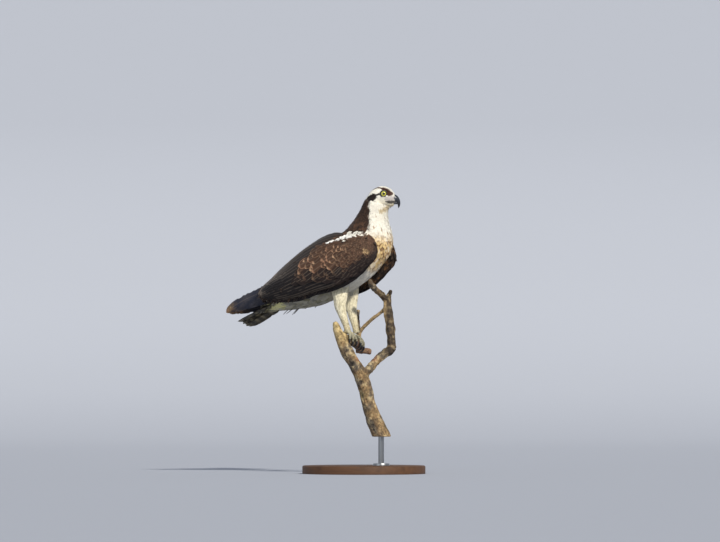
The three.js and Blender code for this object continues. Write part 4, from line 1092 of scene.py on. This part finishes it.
# painted shade: the scales darken to olive-grey towards the bottom, by a random amount
c = mix(np.tile(rgb(178, 174, 150), (len(P), 1)), rgb(74, 76, 62), hash01(P, 2) * smooth(0.034, 0.0, P[:, 2] - GRIP[2]) + 0.1)
ob = make("foot_scales", V.reshape(-1, 3), F, [SCALY], colour=np.repeat(c, 14, axis=0), bake_uv=np.repeat(np.stack([0.05 + 0.9 * hash01(P, 8), 0.05 + 0.9 * hash01(P, 9)], 1), 14, axis=0) + np.tile(rng.uniform(-0.0012, 0.0012, (14, 2)), (len(P), 1)))
coat(ob)

claws = [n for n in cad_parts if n.startswith("claw")]
ob = fuse("claws", claws, 0.00035, times=10)
cv, _ = coords(ob.data)
tint(ob.data, np.tile(rgb(24, 24, 27), (len(cv), 1)))
ob.data.materials.clear()
ob.data.materials.append(HORN)
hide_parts(*claws)
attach(ob, "root")

# ------------------------------------------------------------ the branch
wood_nodes = [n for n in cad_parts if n.startswith("perch")]
branch = fuse("branch", wood_nodes, 0.0016, times=10)
wv, wn = coords(branch.data)
g = (wv - GRIP) * 1000
ca, sa = math.cos(AZ), math.sin(AZ)
across = g[:, 0] * ca + g[:, 1] * sa
up = g[:, 2]
# the grain runs along each limb: stretched noise, then cracks and knots
stem = ((across < 70) & (up < -40)) | ((across < -8) & (up < 60)) | (up < -120)
lean = across + up * 0.42
fine = np.empty(len(wv))
for i, p in enumerate(wv):
    if stem[i]:
        key = (lean[i] * 0.16, g[i, 1] * 0.16, up[i] * 0.022)
    elif across[i] > 76 and up[i] > -20:
        key = (across[i] * 0.16, g[i, 1] * 0.16, up[i] * 0.03)
    else:
        key = (across[i] * 0.06, g[i, 1] * 0.11, up[i] * 0.09)
    fine[i] = noise.fractal(Vector(key), 0.9, 2.1, 4)
lumps = np.array([noise.noise(Vector(p * 38)) for p in wv])
crack = -np.exp(-((fine / 0.075) ** 2))
knobs = np.array([noise.noise(Vector(p * 62 + np.array([5.0, 2, 9]))) for p in wv])
move = 0.0017 * lumps + 0.0012 * fine + 0.0015 * crack + 0.0022 * knobs * smooth(60, 75, across) * smooth(-45, -30, up)
for ka, ku, kr, kd in ((-2, -57, 7, -0.004), (-19, -18, 5, 0.002), (35, -130, 9, 0.0025), (21, -99, 6, -0.003), (88, 62, 6, 0.002), (88, 113, 6.5, -0.006), (58, -196, 9, 0.003), (93, 18, 7, 0.0016)):
    near = np.exp(-(((across - ka) / kr) ** 2 + ((up - ku) / (kr * 1.2)) ** 2)) * (g[:, 1] < across * 0.4 + 8)
    move = move + kd * near
grip_clear = smooth(0.016, 0.030, np.abs(np.hypot(wv[:, 0] - GRIP[0], wv[:, 2] - GRIP[2])))
sawn = smooth(0.0902, 0.094, wv[:, 2])
put(branch.data, wv + wn * (move * (0.25 + 0.75 * grip_clear) * sawn)[:, None])
ochre, greyw, dark_wood_and_shade = rgb(146, 120, 84), rgb(104, 94, 80), rgb(34, 27, 23)
c = mix(np.tile(ochre, (len(wv), 1)), greyw, smooth(-0.25, 0.35, lumps))
c = mix(c, rgb(200, 176, 122), smooth(-30, 30, up) * (across < -10) * 0.8)
limb = smooth(60, 75, across) * smooth(-45, -30, up)
c = mix(c, rgb(70, 57, 42), 0.85 * limb)
c = mix(c, rgb(112, 84, 56), 0.5 * smooth(0.1, 0.5, fine) * (1 - limb))
# painted shade in the cracks, and random dark mottling on the limb
c = mix(c, dark_wood_and_shade, 0.8 * smooth(-0.5, -1, crack * 1.0) + 0.45 * smooth(0.2, 0.5, -lumps) * limb)
c = mix(c, rgb(84, 84, 50), 0.5 * smooth(0.15, 0.5, np.array([noise.noise(Vector(p * 25 + np.array([3.0, 1, 7]))) for p in wv])) * smooth(-60, -150, up))
# painted shade: the three sunk knots are near-black at their centres
for ka, ku, kr in ((-2, -57, 5), (21, -99, 4), (88, 113, 4)):
    c = mix(c, rgb(26, 20, 17), np.exp(-(((across - ka) / kr) ** 2 + ((up - ku) / (kr * 1.2)) ** 2)) * (g[:, 1] < across * 0.4 + 8))
spots = np.array([noise.fractal(Vector(p * 95), 1.0, 2.0, 3) for p in wv])
c = mix(c, dark_wood_and_shade, 0.75 * smooth(0.12, 0.42, spots) * (0.55 + 0.45 * limb))
c = mix(c, rgb(206, 184, 140), 0.5 * smooth(-0.15, -0.5, spots) * (1 - 0.5 * limb))
slim = smooth(0, 8, across) * smooth(86, 78, across) * (up > 8) * (up < 100)
c = mix(c, rgb(188, 160, 116), 0.75 * slim * (across > 18))
rung = (across > 8) * (across < 60) * (up > -50) * (up < 5) * (1 - slim)
c = mix(c, rgb(140, 100, 76), 0.6 * rung)
c = mix(c, rgb(196, 170, 128), 1 - smooth(0.0901, 0.0915, wv[:, 2]))
tint(branch.data, c)
BARK = painted("bark", scale=170.0, low=0.45, high=1.35, bump=0.8, distance=0.0009, Roughness=0.9)
branch.data.materials.clear()
branch.data.materials.append(BARK)
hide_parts(*wood_nodes)
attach(branch, "root")


# ------------------------------------------------------------ stand
def turned(name, profile_, centre, material, cad, round_=128):
    V, F = [], []
    for r, z in profile_:
        for k in range(round_):
            a = 2 * math.pi * k / round_
            V.append((centre[0] + r * math.cos(a), centre[1] + r * math.sin(a), z))
    for i in range(len(profile_) - 1):
        for k in range(round_):
            b = (k + 1) % round_
            F.append([i * round_ + k, i * round_ + b, (i + 1) * round_ + b, (i + 1) * round_ + k])
    ob = make(name, np.array(V), F, [material], shade=False)
    for p in ob.data.polygons:
        p.use_smooth = True
    ob.data.set_sharp_from_angle(angle=math.radians(40))
    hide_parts(cad)
    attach(ob, "root")
    return ob


WOOD, t_, b_ = shader("walnut", Roughness=0.62, Specular_IOR_Level=0.3)
tc = node(t_, "ShaderNodeTexCoord")
mp = node(t_, "ShaderNodeMapping")
mp.inputs["Scale"].default_value = (2.2, 26, 26)
t_.links.new(tc.outputs["Object"], mp.inputs["Vector"])
nz = node(t_, "ShaderNodeTexNoise", Scale=2.4, Detail=6.0, Distortion=0.7)
t_.links.new(mp.outputs[0], nz.inputs["Vector"])
t_.links.new(blend(t_, nz.outputs[0], tuple(rgb(52, 33, 22)), tuple(rgb(104, 72, 48))), b_.inputs["Base Color"])
STEEL, _, _ = shader("steel", Base_Color=(*rgb(150, 152, 154), 1), Metallic=1.0, Roughness=0.32)
R, T, C3 = 0.150, 0.020, 0.003
turned("base", [(0.0005, 0), (R - 0.001, 0), (R, 0.001), (R, T - C3), (R - 0.0006, T - 0.0016), (R - 0.0016, T - 0.0006), (R - C3, T), (0.0005, T)], (0, 0), WOOD, "stand_base", 192)
cc = (GRIP[0] + 0.0695 * ca + 0.025 * sa, GRIP[1] + 0.0695 * sa - 0.025 * ca)
turned("collar", [(0.0005, 0.0203), (0.021, 0.0203), (0.021, 0.0215), (0.0197, 0.0253), (0.0005, 0.0253)], cc, STEEL, "stand_collar", 64)
turned("rod", [(0.0002, 0.0255), (0.007, 0.0255), (0.007, 0.0897), (0.0002, 0.0897)], cc, STEEL, "stand_rod", 48)

# ------------------------------------------------------------ floor, sky and light
SKY = rgb(164, 168, 177)
floor_m, ft, fb = shader("backdrop", Base_Color=(*SKY, 1), Roughness=0.95, Specular_IOR_Level=0.1)
prof = [(-30, 0), (6, 0), (7, 0.05), (8, 0.3), (8.7, 0.9), (9, 1.8), (9, 14)]
V, F = [], []
for a, z in prof:
    for w in (-90, 90):
        V.append(AWAY * a + RIGHT * w + np.array([0, 0, z]))
for i in range(len(prof) - 1):
    F.append([2 * i, 2 * i + 1, 2 * i + 3, 2 * i + 2])
floor = make("floor", np.array(V), F, [floor_m])

world = bpy.data.worlds.new("sky")
bpy.context.scene.world = world
world.use_nodes = True
world.node_tree.nodes["Background"].inputs[0].default_value = (*rgb(208, 215, 228), 1)
world.node_tree.nodes["Background"].inputs[1].default_value = 0.62


def sun(direction, strength, angle, colour):
    d = bpy.data.lights.new("sun", "SUN")
    d.energy = strength
    d.angle = math.radians(angle)
    d.color = colour
    o = bpy.data.objects.new("sun", d)
    o.rotation_euler = Vector(direction).to_track_quat("-Z", "Y").to_euler()
    bpy.context.collection.objects.link(o)


sun(tuple(-RIGHT * 0.5 + AWAY * 1.0 + np.array([0, 0, -0.8])), 3.6, 3, (1, 0.955, 0.87))
sun(tuple(RIGHT * 0.8 + AWAY * 0.9 + np.array([0, 0, -0.25])), 0.35, 40, (0.9, 0.95, 1))
bpy.context.scene.view_settings.view_transform = "Standard"
bpy.context.scene.view_settings.look = "None"
